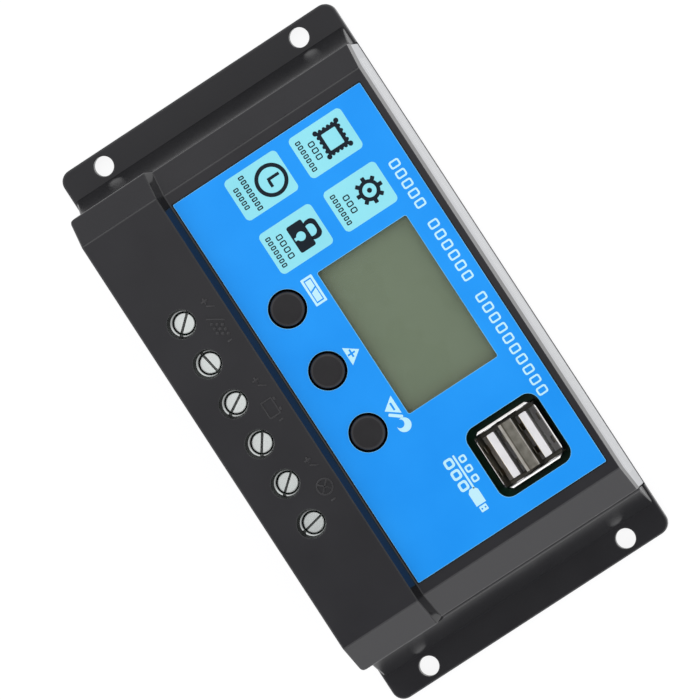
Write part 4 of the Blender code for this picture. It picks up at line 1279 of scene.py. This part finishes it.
# %% Floor
TABLE_GLOW = 0.90
floor_finish = Finish("white_table", {"Roughness": 0.9, "Specular IOR Level": 0.0})
table_place = floor_finish.place()
table_cloud = floor_finish.noise(table_place, 160.0, 2.0)
floor_finish.set("Base Color", floor_finish.mix(table_cloud, (0.15, 0.15, 0.15), (0.17, 0.17, 0.17)))
floor_finish.set("Emission Color", floor_finish.mix(table_cloud, (1.0, 1.0, 1.0), (0.99, 0.99, 1.0)))
floor_finish.shader.inputs["Emission Strength"].default_value = TABLE_GLOW
floor_mesh = bmesh.new()
bmesh.ops.create_circle(floor_mesh, cap_ends=True, segments=64, radius=1.6)
bmesh.ops.translate(floor_mesh, verts=floor_mesh.verts, vec=(0.0, 0.0, -0.0002))
table_mesh = bpy.data.meshes.new("table")
floor_mesh.to_mesh(table_mesh)
floor_mesh.free()
table_mesh.materials.append(floor_finish.material)
table = bpy.data.objects.new("table", table_mesh)
bpy.context.scene.collection.objects.link(table)

# %% World
world = bpy.data.worlds.new("light tent")
bpy.context.scene.world = world
world.use_nodes = True
tree = world.node_tree
background = tree.nodes["Background"]


def world_node(kind, settings=None, sockets=None):
    made = tree.nodes.new("ShaderNode" + kind)
    for key, value in (settings or {}).items():
        setattr(made, key, value)
    for key, value in (sockets or {}).items():
        if isinstance(value, bpy.types.NodeSocket):
            tree.links.new(value, made.inputs[key])
        else:
            made.inputs[key].default_value = value
    return made.outputs[0]


direction = tree.nodes.new("ShaderNodeTexCoord").outputs["Generated"]
split = tree.nodes.new("ShaderNodeSeparateXYZ")
tree.links.new(direction, split.inputs[0])
ZENITH_DARK = 0.10
AROUND = 1.02
RIGHT_GLOW = 1.25
LEFT_SHADE = -0.95


def ramped(axis, start, end, low, high):
    """A smooth change from low to high along one axis of the direction."""
    return world_node("MapRange", {"interpolation_type": "SMOOTHSTEP"}, {
        "Value": split.outputs[axis], "From Min": start, "From Max": end, "To Min": low, "To Max": high,
    })


rise = ramped(2, 0.985, 0.84, ZENITH_DARK, AROUND)
low_band = ramped(2, 0.45, 0.08, 0.0, 1.0)
right = ramped(0, 0.55, 0.95, 0.0, RIGHT_GLOW)
left_side = ramped(0, -0.55, -0.95, 0.0, LEFT_SHADE)
sides = world_node("Math", {"operation": "ADD"}, {0: right, 1: left_side})
sides = world_node("Math", {"operation": "MULTIPLY"}, {0: sides, 1: low_band})
level = world_node("Math", {"operation": "ADD"}, {0: rise, 1: sides})
tree.links.new(level, background.inputs["Strength"])
background.inputs["Color"].default_value = (1.0, 1.0, 1.0, 1.0)


# %% Lights
def soft_panel(name, place, target, size, power):
    light = bpy.data.lights.new(name, "AREA")
    light.shape = "RECTANGLE"
    light.size = size[0]
    light.size_y = size[1]
    light.energy = power
    panel_object = bpy.data.objects.new(name, light)
    panel_object.location = place
    aim = Vector(target) - Vector(place)
    panel_object.rotation_euler = aim.to_track_quat("-Z", "Y").to_euler()
    panel_object.visible_camera = False
    bpy.context.scene.collection.objects.link(panel_object)


PANEL_SIZE = (0.64, 0.70)
PANEL_GLOW = 0.62
panel_power = PANEL_GLOW * math.pi * PANEL_SIZE[0] * PANEL_SIZE[1]
soft_panel("overhead_panel", (-0.28, -0.05, 0.55), (-0.28, -0.05, 0.0), PANEL_SIZE, panel_power)

# %% Camera
VIEW_FROM = Vector((0.019, 0.115, 0.993)).normalized()
VIEW_DISTANCE = 2.1
VIEW_CENTRE = Vector((-0.0023, -0.0029, 0.0))
image_right = Vector((0.5446, 0.8387, 0.0))
image_right = (image_right - image_right.dot(VIEW_FROM) * VIEW_FROM).normalized()
image_up = VIEW_FROM.cross(image_right)
camera_data = bpy.data.cameras.new("camera")
camera_data.sensor_width = 36.0
camera_data.lens = 452.0
camera_data.clip_end = 50.0
camera = bpy.data.objects.new("camera", camera_data)
turning = Matrix((image_right, image_up, VIEW_FROM)).transposed().to_4x4()
camera.matrix_world = Matrix.Translation(VIEW_CENTRE + VIEW_FROM * VIEW_DISTANCE) @ turning
bpy.context.scene.collection.objects.link(camera)
bpy.context.scene.camera = camera
bpy.context.scene.view_settings.view_transform = "Standard"
